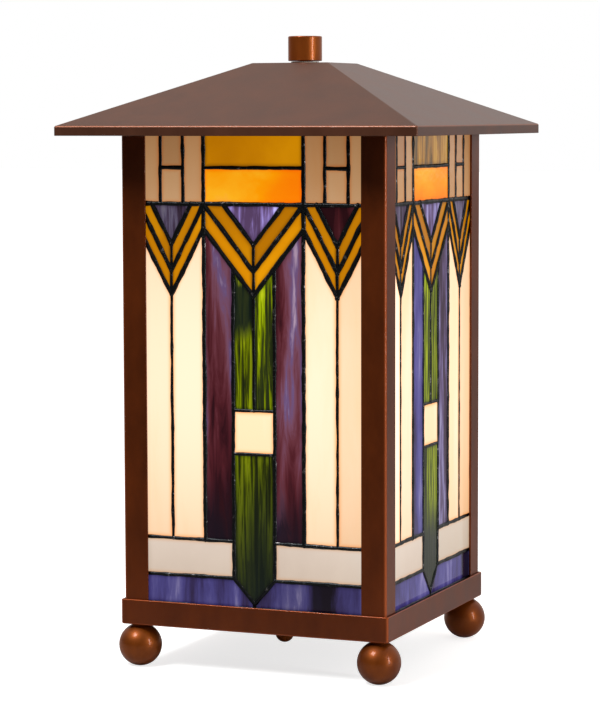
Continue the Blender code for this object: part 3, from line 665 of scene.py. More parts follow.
def glass_layout():
    """(name, sheet, brightness, outline) of every piece, on the centre lines of the solder.

    Names start with the hand they are on: left, right or middle.
    """
    stem_left, stem_right = COL_STEM - SIDE_V, COL_STEM + SIDE_V
    half = [
        # The top row is set dimmer, its upper pieces most: partly for less light from the bulb and
        # partly as painted shade under the roof's eave.
        ("top_inner", "cream", 0.50, upright(COL_MAIN, COL_TOP_INNER, ROW_BAND, ROW_TOP)),
        ("top_low", "cream", 0.50, upright(COL_TOP_INNER, COL_TOP_OUTER, ROW_BAND, ROW_SPLIT)),
        ("top_high", "cream", 0.41, upright(COL_TOP_INNER, COL_TOP_OUTER, ROW_SPLIT, ROW_TOP)),
        ("top_outer", "cream", 0.47, upright(COL_TOP_OUTER, COL_EDGE, ROW_BAND, ROW_TOP)),
        ("v_upper", "amber", 0.84, [(0.0, ROW_V_MID), (COL_MAIN, ROW_BAND),
                                    (CENTRE_V, ROW_BAND), (0.0, ROW_V_HIGH)]),
        ("v_lower", "amber", 1.12, [(0.0, ROW_V_LOW), (COL_MAIN, SHOULDER),
                                    (COL_MAIN, ROW_BAND), (0.0, ROW_V_MID)]),
        ("side_triangle", "purple", 0.5, [(COL_STEM, ROW_V_HIGH), (stem_right, ROW_BAND),
                                          (stem_left, ROW_BAND)]),
        ("side_v_inner_upper", "amber", 0.86, [(COL_STEM, ROW_V_MID), (COL_STEM, ROW_V_HIGH),
                                               (stem_left, ROW_BAND), (COL_MAIN, ROW_BAND)]),
        ("side_v_inner_lower", "amber", 1.0, [(COL_STEM, ROW_V_LOW), (COL_STEM, ROW_V_MID),
                                              (COL_MAIN, ROW_BAND), (COL_MAIN, SHOULDER)]),
        ("side_v_outer_upper", "amber", 0.8, [(COL_STEM, ROW_V_MID), (COL_EDGE, ROW_BAND),
                                              (stem_right, ROW_BAND),
                                              (COL_STEM, ROW_V_HIGH)]),
        ("side_v_outer_lower", "amber", 0.94, [(COL_STEM, ROW_V_LOW), (COL_EDGE, SHOULDER),
                                               (COL_EDGE, ROW_BAND), (COL_STEM, ROW_V_MID)]),
        ("plum_strip", "plum", 1.0, [(COL_SPEAR, ROW_RAIL), (COL_MAIN, ROW_RAIL),
                                     (COL_MAIN, SHOULDER), (COL_SPEAR, SPEAR_TOP)]),
        ("leaf", "green", 1.0, [(0.0, ROW_SQUARE_HIGH), (COL_SPEAR, ROW_SQUARE_HIGH),
                                (COL_SPEAR, SPEAR_TOP), (0.0, ROW_V_LOW)]),
        ("tall_inner", "cream", 1.0, [(COL_MAIN, ROW_RAIL), (COL_STEM, ROW_RAIL),
                                      (COL_STEM, ROW_V_LOW), (COL_MAIN, SHOULDER)]),
        ("tall_outer", "cream", 0.93, [(COL_STEM, ROW_RAIL), (COL_EDGE, ROW_RAIL),
                                       (COL_EDGE, SHOULDER), (COL_STEM, ROW_V_LOW)]),
        ("bar", "opal", 0.88, upright(COL_SPEAR, COL_EDGE, ROW_KICK, ROW_RAIL)),
        ("foot", "violet", 1.0, [(0.0, ROW_BOTTOM), (COL_EDGE, ROW_BOTTOM),
                                 (COL_EDGE, ROW_KICK), (COL_SPEAR, ROW_KICK),
                                 (0.0, ROW_POINT)]),
    ]
    middle = [
        ("middle_band", "orange", 1.0, upright(-COL_MAIN, COL_MAIN, ROW_BAND, ROW_SPLIT)),
        ("middle_top", "amber", 0.9, upright(-COL_MAIN, COL_MAIN, ROW_SPLIT, ROW_TOP)),
        ("middle_triangle", "purple", 1.9, [(0.0, ROW_V_HIGH), (CENTRE_V, ROW_BAND),
                                            (-CENTRE_V, ROW_BAND)]),
        ("middle_square", "cream", 1.0, upright(-COL_SPEAR, COL_SPEAR, ROW_SQUARE_LOW,
                                                ROW_SQUARE_HIGH)),
        ("middle_spear", "green", 0.9, [(0.0, ROW_POINT), (COL_SPEAR, ROW_KICK),
                                        (COL_SPEAR, ROW_SQUARE_LOW),
                                        (-COL_SPEAR, ROW_SQUARE_LOW),
                                        (-COL_SPEAR, ROW_KICK)]),
    ]
    right = [("right_" + name, sheet, glow, outline) for name, sheet, glow, outline in half]
    left = [("left_" + name, sheet, glow, [(-x, z) for x, z in reversed(outline)])
            for name, sheet, glow, outline in half]
    return right + left + middle


# Pieces whose sheet has a dark streak, in millimetres: it starts at the first point and is
# full at the second; past four times that distance the glass is clear again.
DARK_STREAKS = {
    "front_left_leaf": ((-6, 187), (-6.6, 195)),
    "front_middle_spear": ((-8, 122), (8, 66)),
    "front_left_plum_strip": ((-24, 112), (-20, 84)),
    "front_right_plum_strip": ((25, 108), (14, 86)),
    "front_right_foot": ((31, 44), (35, 44)),
    "right_middle_spear": ((0, 92), (0, 74)),
    "right_right_foot": ((52, 44), (56, 44)),
    "back_right_leaf": ((6, 176), (7, 160)),
    "back_left_plum_strip": ((-20, 198), (-24, 222)),
    "back_middle_spear": ((5, 116), (-10, 70)),
    "left_left_foot": ((-30, 44), (-36, 44)),
    "left_right_plum_strip": ((15, 150), (24, 118)),
    "left_middle_spear": ((4, 60), (-2, 112)),
}


def inset(outline, by):
    """A convex outline moved in by a distance: each edge cuts off what lies outside it."""
    result = [Vector(point) for point in outline]
    for a, b in zip(outline, outline[1:] + outline[:1]):
        a, b = Vector(a), Vector(b)
        along = (b - a).normalized()
        inward = Vector((-along.y, along.x))
        start = a + inward * by
        kept = []
        for p, q in zip(result, result[1:] + result[:1]):
            p_in, q_in = (p - start).dot(inward), (q - start).dot(inward)
            if p_in >= 0:
                kept.append(p)
            if p_in * q_in < 0:
                kept.append(p.lerp(q, p_in / (p_in - q_in)))
        result = kept
    return [tuple(p) for p in result]


def sheet_of(across, along, swirl, grain, run, edge, dark, dims=0.1, warms=1.05, shine=1.0):
    """A kind of sheet glass: how close its streaks lie across and along the piece, how they
    swirl and how fine they are, how the colours run from its thickest streaks to its
    thinnest, what its edge and its dark streaks turn the light to, how fast it dims and
    reddens away from the bulb, and how strongly it shines."""
    return {"across": across, "along": along, "swirl": swirl, "grain": grain,
            "run": [(place, srgb(*colour)) for place, *colour in run], "edge": srgb(*edge),
            "dark": srgb(*dark), "dims": dims, "warms": warms, "shine": shine}


SHEETS = {
    "cream": sheet_of(
        34.0, 6.0, swirl=0.5, grain=0.7, dims=0.36, warms=1.28, shine=1.3,
        edge=(255, 196, 128), dark=(190, 140, 90),
        run=[(0.3, 255, 213, 173), (0.5, 255, 218, 184), (0.7, 255, 223, 193)]),
    "opal": sheet_of(
        16.0, 9.0, swirl=0.5, grain=0.5, dims=0.34, warms=1.2,
        edge=(255, 214, 170), dark=(150, 130, 120),
        run=[(0.3, 246, 232, 226), (0.55, 255, 242, 236), (0.75, 255, 246, 242)]),
    "amber": sheet_of(
        24.0, 16.0, swirl=0.8, grain=0.4, warms=1.02,
        edge=(140, 134, 96), dark=(96, 60, 0),
        run=[(0.3, 196, 122, 0), (0.55, 208, 132, 0), (0.75, 222, 146, 2)]),
    "olive": sheet_of(
        120.0, 12.0, swirl=1.2, grain=1.6, warms=1.02,
        edge=(150, 140, 110), dark=(70, 60, 10),
        run=[(0.24, 96, 66, 4), (0.42, 146, 98, 8), (0.58, 176, 118, 16),
             (0.78, 204, 150, 50)]),
    "orange": sheet_of(
        18.0, 22.0, swirl=0.7, grain=0.35, warms=1.02,
        edge=(255, 190, 120), dark=(180, 70, 0),
        run=[(0.3, 255, 124, 0), (0.46, 255, 138, 0), (0.58, 255, 156, 0),
             (0.7, 255, 180, 30), (0.82, 255, 168, 84)]),
    "purple": sheet_of(
        170.0, 14.0, swirl=0.5, grain=1.6, edge=(150, 130, 150), dark=(34, 20, 32),
        run=[(0.26, 62, 44, 66), (0.42, 88, 70, 104), (0.54, 110, 94, 138),
             (0.66, 134, 124, 172), (0.8, 160, 152, 192)]),
    "plum": sheet_of(
        66.0, 8.0, swirl=1.5, grain=0.9, edge=(170, 160, 190), dark=(24, 14, 26),
        run=[(0.26, 46, 14, 22), (0.4, 78, 28, 36), (0.54, 100, 48, 58),
             (0.66, 116, 72, 92), (0.76, 104, 80, 122), (0.9, 176, 150, 172)]),
    "green": sheet_of(
        220.0, 9.0, swirl=0.8, grain=2.5, edge=(130, 140, 120), dark=(14, 24, 22),
        run=[(0.24, 26, 32, 10), (0.4, 50, 58, 4), (0.52, 84, 94, 0),
             (0.64, 112, 128, 0), (0.78, 146, 156, 16)]),
    "violet": sheet_of(
        100.0, 14.0, swirl=0.6, grain=0.9, edge=(160, 150, 170), dark=(20, 12, 24),
        run=[(0.22, 44, 32, 62), (0.38, 58, 50, 100), (0.55, 72, 66, 126),
             (0.7, 90, 84, 140), (0.85, 138, 130, 172)]),
}
# The glass is brightest at the filament's height; a span away it has dimmed by "dims".
FILAMENT_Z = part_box("bulb_glass")[1].z - 18 * MM
DIM_SPAN = 120 * MM


def glass_finish(name, sheet):
    """One sheet of streaky glass: its light is what comes through it from the bulb."""
    graph = finish(name + "_glass", {"Roughness": 0.1, "Specular IOR Level": 0.28,
                                     "Emission Strength": sheet["shine"]})
    drawn = graph.marked("sheet", "Vector")
    glow, rim, dark = (graph.marked(mark) for mark in ("glow", "rim", "dark"))
    height = graph.part(graph.place(), "Z")
    pulled = graph.scaled(drawn, (sheet["across"], sheet["along"], 1.0))
    broad = graph.noise(pulled, 0.5, detail=2.0, distortion=sheet["swirl"])
    fine = graph.noise(pulled, 2.2, detail=5.0, roughness=0.62, distortion=sheet["swirl"] * 0.6)
    streak = (broad - 0.5) * 1.5 + (fine - 0.5) * sheet["grain"] + 0.5
    colour = graph.ramp(streak, sheet["run"])
    flame = (dark + (fine - 0.5) * 3.4) / 5.0
    smoky = graph.ramp(flame, [(0.02, 0.0), (0.12, 0.55), (0.24, 0.95), (0.8, 0.95),
                               (0.95, 0.0)])
    colour = graph.mix(smoky, colour, sheet["dark"])
    far = (height - FILAMENT_Z) / DIM_SPAN
    level = glow * (1.0 - far * far * sheet["dims"])
    edged = graph.mix(rim * rim * 0.8, colour, sheet["edge"], blend="MULTIPLY")
    through = graph.node("ShaderNodeCombineColor", None,
                         {"Red": level, "Green": level ** sheet["warms"],
                          "Blue": level ** (2.0 * sheet["warms"] - 0.85)})
    ripple = graph.noise(drawn, 240.0, detail=1.0) * 0.6 + streak
    return feed(graph, {
        "Base Color": graph.mix(0.9, colour, 0.0),
        "Emission Color": graph.mix(1.0, edged, through, blend="MULTIPLY"),
        "Normal": graph.relief(ripple, 0.25 * MM, 0.2)})


GLASS = {name: glass_finish(name, sheet) for name, sheet in SHEETS.items()}
KINDS = list(GLASS)


def nearest(points, place):
    """Which of the points is nearest to a place."""
    return min(range(len(points)), key=lambda i: (Vector(points[i]) - Vector(place)).length)


def along(streak, place):
    """How far a place lies into a dark streak: 0 where it starts and 1 where it is full."""
    if streak is None:
        return -1.0
    start, full = (Vector((x * MM, z * MM)) for x, z in streak)
    way = full - start
    return (place - start).dot(way) / way.length_squared


def filled(outer, inner):
    """Triangles over an outline that keep a second outline inside it as edges."""
    points = [*outer, *inner]
    count = len(outer)
    edges = [(i, (i + 1) % count) for i in range(count)]
    edges += [(count + i, count + (i + 1) % len(inner)) for i in range(len(inner))]
    flat, _, faces, *_ = delaunay_2d_cdt([Vector(p) for p in points], edges,
                                         [list(range(count))], 1, 1e-7)
    return flat, faces


def glass_mesh(side, seed):
    """The 39 pieces of one side, drawn for the front, with each piece cut from its own
    place on its sheet."""
    low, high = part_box("glass_panel_front")
    chance = random.Random(seed)
    bm = bmesh.new()
    sheet = bm.verts.layers.float_vector.new("sheet")
    glow, rim, dark = (bm.verts.layers.float.new(mark) for mark in ("glow", "rim", "dark"))
    for name, kind, brightness, outline in glass_layout():
        kind = OTHER_SHEET.get(side + "_" + name, kind)
        edge = inset(outline, LEAD / 2 - UNDER_LEAD)
        face = inset(edge, ARRIS)
        inner = next(ring for ring in (inset(edge, depth) for depth in GLOW_EDGES)
                     if len(ring) > 2)
        flat, triangles = filled(face, inner)
        cut_at = Vector((chance.uniform(-1, 1), chance.uniform(-1, 1), 0.0)) * 9.0
        bright = brightness * LEVELS.get(side + "_" + name, 1.0) * chance.uniform(0.95, 1.05)
        border = [nearest(flat, p) for p in face]
        sheets = [[bm.verts.new((x, y, z)) for x, z in flat] for y in (low.y, high.y)]
        outer = [edge[nearest(edge, p)] for p in face]
        sides = [[bm.verts.new((x, y, z)) for x, z in outer]
                 for y in (low.y + ARRIS, high.y - ARRIS)]
        rows = [[sheets[0][i] for i in border], *sides, [sheets[1][i] for i in border]]
        for corners in triangles:
            bm.faces.new([sheets[0][i] for i in corners])
            bm.faces.new([sheets[1][i] for i in reversed(corners)])
        for a, b in zip(rows, rows[1:]):
            for i, j in zip(range(len(a)), [*range(1, len(a)), 0]):
                bm.faces.new((a[i], b[i], b[j], a[j]))
        piece = {vert for row in (*sheets, *sides) for vert in row}
        for vert in piece:
            at = Vector((vert.co.x, vert.co.z))
            vert[sheet] = Vector((*at, 0.0)) + cut_at
            vert[glow] = bright
            vert[dark] = along(DARK_STREAKS.get(side + "_" + name), at)
            for face_of in vert.link_faces:
                face_of.material_index = KINDS.index(kind)
        for row in rows:
            for vert in row:
                vert[rim] = 1.0
    bmesh.ops.recalc_face_normals(bm, faces=bm.faces)
    return plain_mesh(bm)


for index, side in enumerate(SIDES):
    mesh = glass_mesh(side, seed=40 + index)
    mesh.transform(Matrix.Rotation(index * QUARTER, 4, "Z"))
    finished("glass_panel_" + side, mesh, "art_glass", *GLASS.values(),
             name="glass_pieces_" + side, sharp=30.0)


# ---- Solder ------------------------------------------------------------------------------
# Copper foil round each piece of glass is flooded with solder on both faces, which leaves
# rounded beads that swell at the joints. Black patina then darkens them.

CHEVRON = 1.5 * MM                  # bead radii, from the chevrons down to thin stems
THICK = 1.4 * MM
MIDDLING = 1.25 * MM
THIN = 1.1 * MM


def solder_lines():
    """(bead radius, centre line) of every lead, each drawn in one stroke."""
    strokes = [(THIN, [(0.0, ROW_V_HIGH), (0.0, ROW_SQUARE_HIGH)]),
               (THICK, [(-COL_EDGE, ROW_BAND), (COL_EDGE, ROW_BAND)]),
               (MIDDLING, [(-COL_MAIN, ROW_SPLIT), (COL_MAIN, ROW_SPLIT)]),
               (THIN, [(-COL_SPEAR, ROW_SQUARE_HIGH), (COL_SPEAR, ROW_SQUARE_HIGH)]),
               (THIN, [(-COL_SPEAR, ROW_SQUARE_LOW), (COL_SPEAR, ROW_SQUARE_LOW)]),
               (THIN, [(-COL_EDGE, ROW_BOTTOM), (COL_EDGE, ROW_BOTTOM)]),
               (THIN, [(-COL_EDGE, ROW_TOP), (COL_EDGE, ROW_TOP)]),
               (THIN, [(0.0, ROW_POINT), (0.0, ROW_BOTTOM)]),
               (CHEVRON, [(-CENTRE_V, ROW_BAND), (0.0, ROW_V_HIGH), (CENTRE_V, ROW_BAND)]),
               (CHEVRON, [(-COL_MAIN, ROW_BAND), (0.0, ROW_V_MID), (COL_MAIN, ROW_BAND)]),
               (CHEVRON, [(-COL_MAIN, SHOULDER), (0.0, ROW_V_LOW), (COL_MAIN, SHOULDER)]),
               (MIDDLING, [(-COL_SPEAR, ROW_KICK), (0.0, ROW_POINT), (COL_SPEAR, ROW_KICK)])]
    for s in (-1, 1):
        stem, main, edge, spear = s * COL_STEM, s * COL_MAIN, s * COL_EDGE, s * COL_SPEAR
        inner, outer = s * COL_TOP_INNER, s * COL_TOP_OUTER
        strokes += [
            (THICK, [(main, ROW_TOP), (main, SHOULDER), (main, ROW_RAIL)]),
            (MIDDLING, [(inner, ROW_TOP), (inner, ROW_BAND)]),
            (MIDDLING, [(outer, ROW_TOP), (outer, ROW_BAND)]),
            (MIDDLING, [(inner, ROW_SPLIT), (outer, ROW_SPLIT)]),
            (THIN, [(stem, ROW_V_HIGH), (stem, ROW_RAIL)]),
            (MIDDLING, [(spear, SPEAR_TOP), (spear, ROW_KICK)]),
            (MIDDLING, [(spear, ROW_RAIL), (edge, ROW_RAIL)]),
            (MIDDLING, [(spear, ROW_KICK), (edge, ROW_KICK)]),
            (THIN, [(edge, ROW_BOTTOM), (edge, ROW_TOP)]),
            (CHEVRON, [(stem - SIDE_V, ROW_BAND), (stem, ROW_V_HIGH),
                       (stem + SIDE_V, ROW_BAND)]),
            (CHEVRON, [(main, ROW_BAND), (stem, ROW_V_MID), (edge, ROW_BAND)]),
            (CHEVRON, [(main, SHOULDER), (stem, ROW_V_LOW), (edge, SHOULDER)])]
    return strokes


def new_tree(name, inputs):
    """An empty Geometry Nodes tree with named inputs: its graph, and each input's field."""
    tree = bpy.data.node_groups.new(name, "GeometryNodeTree")
    for way in ("INPUT", "OUTPUT"):
        tree.interface.new_socket("Geometry", in_out=way, socket_type="NodeSocketGeometry")
    for label, kind in inputs.items():
        tree.interface.new_socket(label, in_out="INPUT", socket_type="NodeSocket" + kind)
    graph = Graph(tree)
    entry = tree.nodes.new("NodeGroupInput")
    return graph, {socket.name: Field(graph, socket) for socket in entry.outputs if socket.name}


def end_tree(graph, geometry, material):
    """Close a tree: what it makes comes out as plain mesh in its material."""
    whole = graph.node("GeometryNodeRealizeInstances", None, {"Geometry": geometry})
    whole = graph.node("GeometryNodeSetMaterial", None,
                       {"Geometry": whole, "Material": material})
    graph.node("NodeGroupOutput", None, {0: whole})
    return graph.tree


def round_bar(graph, line, facets, radius):
    """A round bar along a curve."""
    section = graph.node("GeometryNodeCurvePrimitiveCircle", None,
                         {"Resolution": facets, "Radius": 1.0})
    return graph.node("GeometryNodeCurveToMesh", None,
                      {"Curve": line, "Profile Curve": section, "Scale": radius,
                       "Fill Caps": True})


def bead_tree():
    """Beads of solder along strokes, and a swelling on each loose point."""
    graph, given = new_tree("solder_beads", {
        "Joint Swell": "Float", "Step": "Float", "Wobble": "Float", "Unevenness": "Float",
        "Sides": "Int", "Seed": "Float", "Solder": "Material"})
    spot = graph.node("GeometryNodeInputPosition")
    drift = graph.node("ShaderNodeTexNoise", {"noise_dimensions": "4D"},
                       {"Vector": spot, "W": given["Seed"], "Scale": 55.0, "Detail": 2.0},
                       output="Color")
    centred = graph.node("ShaderNodeVectorMath", {"operation": "SUBTRACT"},
                         {0: drift, 1: (0.5, 0.5, 0.5)})
    shift = graph.node("ShaderNodeVectorMath", {"operation": "SCALE"},
                       {0: graph.scaled(centred, (1.0, 0.0, 1.0)), "Scale": given["Wobble"]})
    swell = graph.node("ShaderNodeTexNoise", {"noise_dimensions": "4D"},
                       {"Vector": spot, "W": given["Seed"] + 7.0, "Scale": 150.0,
                        "Detail": 2.0})
    drawn = graph.node("GeometryNodeInputNamedAttribute", {"data_type": "FLOAT"},
                       {"Name": "bead"})
    radius = drawn * (1.0 + (swell - 0.5) * given["Unevenness"])
    lines = graph.node("GeometryNodeMeshToCurve", None, {"Mesh": given["Geometry"]})
    lines = graph.node("GeometryNodeResampleCurve", {"mode": "LENGTH"},
                       {"Curve": lines, "Length": given["Step"]})
    lines = graph.node("GeometryNodeSetPosition", None, {"Geometry": lines, "Offset": shift})
    beads = round_bar(graph, lines, given["Sides"], radius)
    neighbours = graph.node("GeometryNodeInputMeshVertexNeighbors", output="Vertex Count")
    loose = graph.node("FunctionNodeCompare", {"data_type": "INT", "operation": "EQUAL"},
                       {2: neighbours, 3: 0})
    blob = graph.node("GeometryNodeMeshUVSphere", None,
                      {"Segments": 12, "Rings": 8, "Radius": 1.0})
    size = graph.node("FunctionNodeRandomValue", {"data_type": "FLOAT"},
                      {2: 0.88, 3: 1.06}, output=1)
    joints = graph.node("GeometryNodeInstanceOnPoints", None,
                        {"Points": given["Geometry"], "Selection": loose, "Instance": blob,
                         "Scale": size * given["Joint Swell"] * drawn})
    joints = graph.node("GeometryNodeRealizeInstances", None, {"Geometry": joints})
    both = graph.node("GeometryNodeJoinGeometry")
    for part in (beads, joints):
        graph.tree.links.new(part.socket, both.socket.node.inputs[0])
    return end_tree(graph, both, given["Solder"])


def grown(mesh, tree, values):
    """The plain mesh that a tree makes of a mesh; values are by the inputs' names."""
    obj = bpy.data.objects.new("grown", mesh)
    bpy.context.scene.collection.objects.link(obj)
    modifier = obj.modifiers.new("grown", "NODES")
    modifier.node_group = tree
    for item in tree.interface.items_tree:
        if item.in_out == "INPUT" and item.name in values:
            modifier[item.identifier] = values[item.name]
    evaluated = obj.evaluated_get(bpy.context.evaluated_depsgraph_get())
    result = bpy.data.meshes.new_from_object(evaluated)
    obj.modifiers.remove(modifier)
    bpy.data.objects.remove(obj, do_unlink=True)
    return result


def joined(*meshes):
    """Several meshes as one."""
    bm = bmesh.new()
    for mesh in meshes:
        bm.from_mesh(mesh)
    return plain_mesh(bm)


def strokes_mesh(strokes, depth):
    """Strokes as loose chains of edges, and a loose point at every end and corner; the
    attribute "bead" is the bead's radius at each point."""
    verts, edges, beads = [], [], []
    joints = {}
    for radius, stroke in strokes:
        start = len(verts)
        verts += [(x, depth, z) for x, z in stroke]
        edges += [(start + i, start + i + 1) for i in range(len(stroke) - 1)]
        beads += [radius] * len(stroke)
        for x, z in stroke:
            spot = (round(x, 6), round(z, 6))
            joints[spot] = max(radius, joints.get(spot, 0.0))
    verts += [(x, depth, z) for x, z in joints]
    mesh = bpy.data.meshes.new("strokes")
    mesh.from_pydata(verts, edges, [])
    mesh.attributes.new("bead", "FLOAT", "POINT").data.foreach_set(
        "value", [*beads, *joints.values()])
    return mesh


def solder_finish():
    graph = finish("black_patina", {"Metallic": 0.9})
    place = graph.place()
    stain = graph.noise(place, 320.0, detail=4.0, roughness=0.65)
    pit = graph.noise(place, 1500.0, detail=2.0)
    # Light flecks: bare solder where the patina is worn, and also a painted highlight on the
    # beads.
    bare_and_glint = graph.node("ShaderNodeClamp", None, {"Value": (stain - 0.6) * 8.0})
    dark = graph.mix(pit, srgb(28, 31, 33), srgb(44, 46, 48))
    return feed(graph, {
        "Base Color": graph.mix(bare_and_glint * 0.7, dark, srgb(150, 146, 146)),
        "Roughness": 0.22 + pit * 0.3,
        "Normal": graph.relief(stain + pit * 0.5, 0.2 * MM, 0.6)})


SOLDER = solder_finish()
BEAD_SUNK = 0.55 * MM               # how far a bead's centre lies behind the glass face
BEADS = bead_tree()


def solder_net(side, turn, seed):
    """The front beads and the plainer ones inside the lamp, in one net."""
    low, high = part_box("glass_panel_front")
    faces = ((low.y + BEAD_SUNK, 1.5 * MM, 10), (high.y - BEAD_SUNK, 4 * MM, 8))
    mesh = joined(*(grown(strokes_mesh(solder_lines(), depth), BEADS, {
        "Joint Swell": 1.1, "Step": step, "Wobble": 1.2 * MM, "Unevenness": 0.9,
        "Sides": facets, "Seed": float(seed), "Solder": SOLDER})
        for depth, step, facets in faces))
    mesh.transform(Matrix.Rotation(turn, 4, "Z"))
    finished("solder_net_" + side, mesh, "solder", SOLDER, name="solder_beads_" + side,
             sharp=60.0)


for index, side in enumerate(SIDES):
    solder_net(side, index * QUARTER, seed=3 * index)


# ---- Roof --------------------------------------------------------------------------------
# A pressed steel pyramid with a flat top and a lip turned down all round. It rests on the
# cage, and only the finial holds it.

# Greyer and pinker than the cage's bronze: a painted reflection of the bright ceiling on the
# slopes. The stronger sheen is real.
ROOF_BRONZE = bronze_finish("roof_bronze", srgb(88, 49, 30), srgb(106, 61, 40), gloss=0.42,
                            lacquer=0.25, sheen=0.5)


def roof():
    low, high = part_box("roof")
    eave, bottom, top = high.x, low.z, high.z
    sheet, lip, flat, hole = 1.0 * MM, 5.3 * MM, 23.0 * MM, 3.6 * MM
    slope = (top - bottom - lip) / (eave - flat)
    upright_sheet = sheet * math.hypot(1.0, slope)
    bend = bottom + lip
    section = [(hole, top), (flat, top), (eave, bend), (eave, bottom), (eave - sheet, bottom),
               (eave - sheet, bend + sheet * slope - upright_sheet),
               (flat - 0.2 * MM, top - sheet), (hole, top - sheet)]
    radii = [0.0, 0.9 * MM, 1.1 * MM, 0.3 * MM, 0.3 * MM, 0.4 * MM, 0.6 * MM, 0.0]
    mesh = folded_square(filleted(section, radii), corner=1.0 * MM)
    # Painted highlight along the bend at the top of the lip.
    highlight_band = 0.6 * MM
    mark_highlight_bends(mesh, lambda co: max(abs(co.x), abs(co.y)) > eave - highlight_band and abs(co.z - bend) < highlight_band)
    finished("roof", mesh, "bronze_paint", ROOF_BRONZE, body="roof")


roof()


def thread_tree():
    """A ridge that climbs in a helix, as a thread stands on its core."""
    graph, given = new_tree("thread", {
        "Radius": "Float", "Height": "Float", "Pitch": "Float", "Tooth": "Float",
        "Facets": "Int", "Metal": "Material"})
    helix = graph.node("GeometryNodeCurveSpiral", None, {
        "Resolution": 40, "Rotations": given["Height"] / given["Pitch"],
        "Start Radius": given["Radius"], "End Radius": given["Radius"],
        "Height": given["Height"]})
    helix = graph.node("GeometryNodeSetCurveNormal", {"mode": "Z_UP"}, {"Curve": helix})
    ridge = round_bar(graph, helix, given["Facets"], given["Tooth"])
    return end_tree(graph, ridge, given["Metal"])


THREAD = thread_tree()


def threaded(core, radius, low, high, pitch, tooth, metal, facets=4):
    """A core's mesh with a helical ridge round the lamp's axis, whose crest is at the radius;
    4 facets make a sharp thread, more make a round one."""
    ridge = grown(bpy.data.meshes.new("start"), THREAD, {
        "Radius": radius - tooth, "Height": high - low - 2 * tooth, "Pitch": pitch,
        "Tooth": tooth, "Facets": facets, "Metal": metal})
    ridge.transform(Matrix.Translation((0.0, 0.0, low + tooth)))
    return joined(core, ridge)


def hex_nut(node, bore):
    """A nut with both faces chamfered, across the flats of the CAD one."""
    low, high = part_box(node)
    middle = (low + high) / 2
    across = (high - low).xy
    flats = min(across) / 2
    face, lead_in = flats * 0.96, 0.3 * MM
    first = 0.0 if across.x > across.y else QUARTER

    def hexagon(turn):
        return flats / math.cos((turn - first) % (math.pi / 3) - math.pi / 6)

    def chamfer(turn):
        return (hexagon(turn) - face) * math.tan(math.pi / 6)

    def half(end, inwards):
        """Rings from the bore out to the flats at one end; inwards points into the nut."""
        return [lambda t: (bore, end + inwards * lead_in), lambda t: (bore + lead_in, end),
                lambda t: (face, end), lambda t: (hexagon(t), end + inwards * chamfer(t))]

    rings = []
    for ring in (*half(low.z, 1), *reversed(half(high.z, -1))):
        spots = [(t, *ring(t)) for t in (math.tau * i / 72 for i in range(72))]
        rings.append([(middle.x + r * math.cos(t), middle.y + r * math.sin(t), z)
                      for t, r, z in spots])
    return mesh_of(skinned(rings))


def top_fixing():
    """The bar across the cage's top, and the stud that stands in it between two nuts."""
    finished("crossbar", eased("crossbar", 0.35 * MM), "plated_steel", PLATED)
    low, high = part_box("stud")
    tooth = 0.55 * MM
    core_r, point = high.x - tooth, 0.6 * MM
    core = turned([(0.0, low.z), (core_r, low.z), (core_r, high.z - point),
                   (core_r - point, high.z), (0.0, high.z)], steps=32)
    finished("stud", threaded(core, high.x, low.z, high.z, 1.0 * MM, tooth, PLATED),
             "plated_steel", PLATED)
    for nut in ("stud_nut_lower", "stud_nut_upper"):
        finished(nut, hex_nut(nut, bore=3.1 * MM), "plated_steel", PLATED)


top_fixing()


# ---- Finial ------------------------------------------------------------------------------
# A turned knob with eased edges and a blind thread. It screws down on the stud over a nylon
# washer that keeps the paint from being marked.

KNOB_BRONZE = bronze_finish("worn_bronze", srgb(136, 64, 16), srgb(164, 84, 24), gloss=0.32)
STUD_HOLE = 3.6 * MM


def finial():
    low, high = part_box("finial")
    radius = (high.x - low.x) / 2
    hole_top = high.z - 3 * MM
    section = [(STUD_HOLE, hole_top), (STUD_HOLE, low.z), (radius, low.z), (radius, high.z),
               (0.0, high.z)]
    profile = filleted(section, [0.0, 0.2 * MM, 0.5 * MM, 0.7 * MM, 0.0], 5, closed=False)
    mesh = turned([(0.0, hole_top), *profile], steps=72)
    finished("finial", mesh, "bronze_paint", KNOB_BRONZE, body="finial")


def grained_finish(name, constants, low, high, grain, detail, depth, strength=0.3):
    """A plain finish with one fine grain in its colour, its roughness and its surface."""
    graph = finish(name, constants)
    fleck = graph.noise(graph.place(), grain, detail=detail)
    fields = {"Base Color": graph.mix(fleck, low, high),
              "Normal": graph.relief(fleck, depth, strength)}
    if "Roughness" not in constants:
        fields["Roughness"] = 0.4 + fleck * 0.2
    return feed(graph, fields)


NYLON = grained_finish("nylon", {"Roughness": 0.45, "Subsurface Weight": 0.1},
                       srgb(206, 200, 182), srgb(226, 222, 208), grain=300.0, detail=3.0,
                       depth=0.03 * MM)


def finial_washer():
    low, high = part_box("finial_washer")
    section = [(STUD_HOLE, low.z), (high.x, low.z), (high.x, high.z), (STUD_HOLE, high.z)]
    mesh = turned(filleted(section, 0.2 * MM, 3), steps=64, closed=True)
    finished("finial_washer", mesh, "nylon", NYLON, body="finial_washer")


finial()
finial_washer()


# ---- Lamp holder and bulb ----------------------------------------------------------------
# A threaded brass pipe stands in the tray between two nuts and carries a moulded phenolic
# holder with a brass screw shell. The bulb is a frosted globe on a plated screw cap.

def brass_finish():
    graph = finish("turned_brass", {"Metallic": 1.0})
    place = graph.place()
    rings = graph.noise(graph.scaled(place, (60.0, 60.0, 2600.0)), 1.0, detail=2.0)
    tarnish = graph.noise(place, 180.0, detail=4.0)
    return feed(graph, {
        "Base Color": graph.mix(tarnish, srgb(176, 136, 68), srgb(212, 174, 98)),
        "Roughness": 0.22 + tarnish * 0.2,
        "Normal": graph.relief(rings, 0.02 * MM, 0.4)})


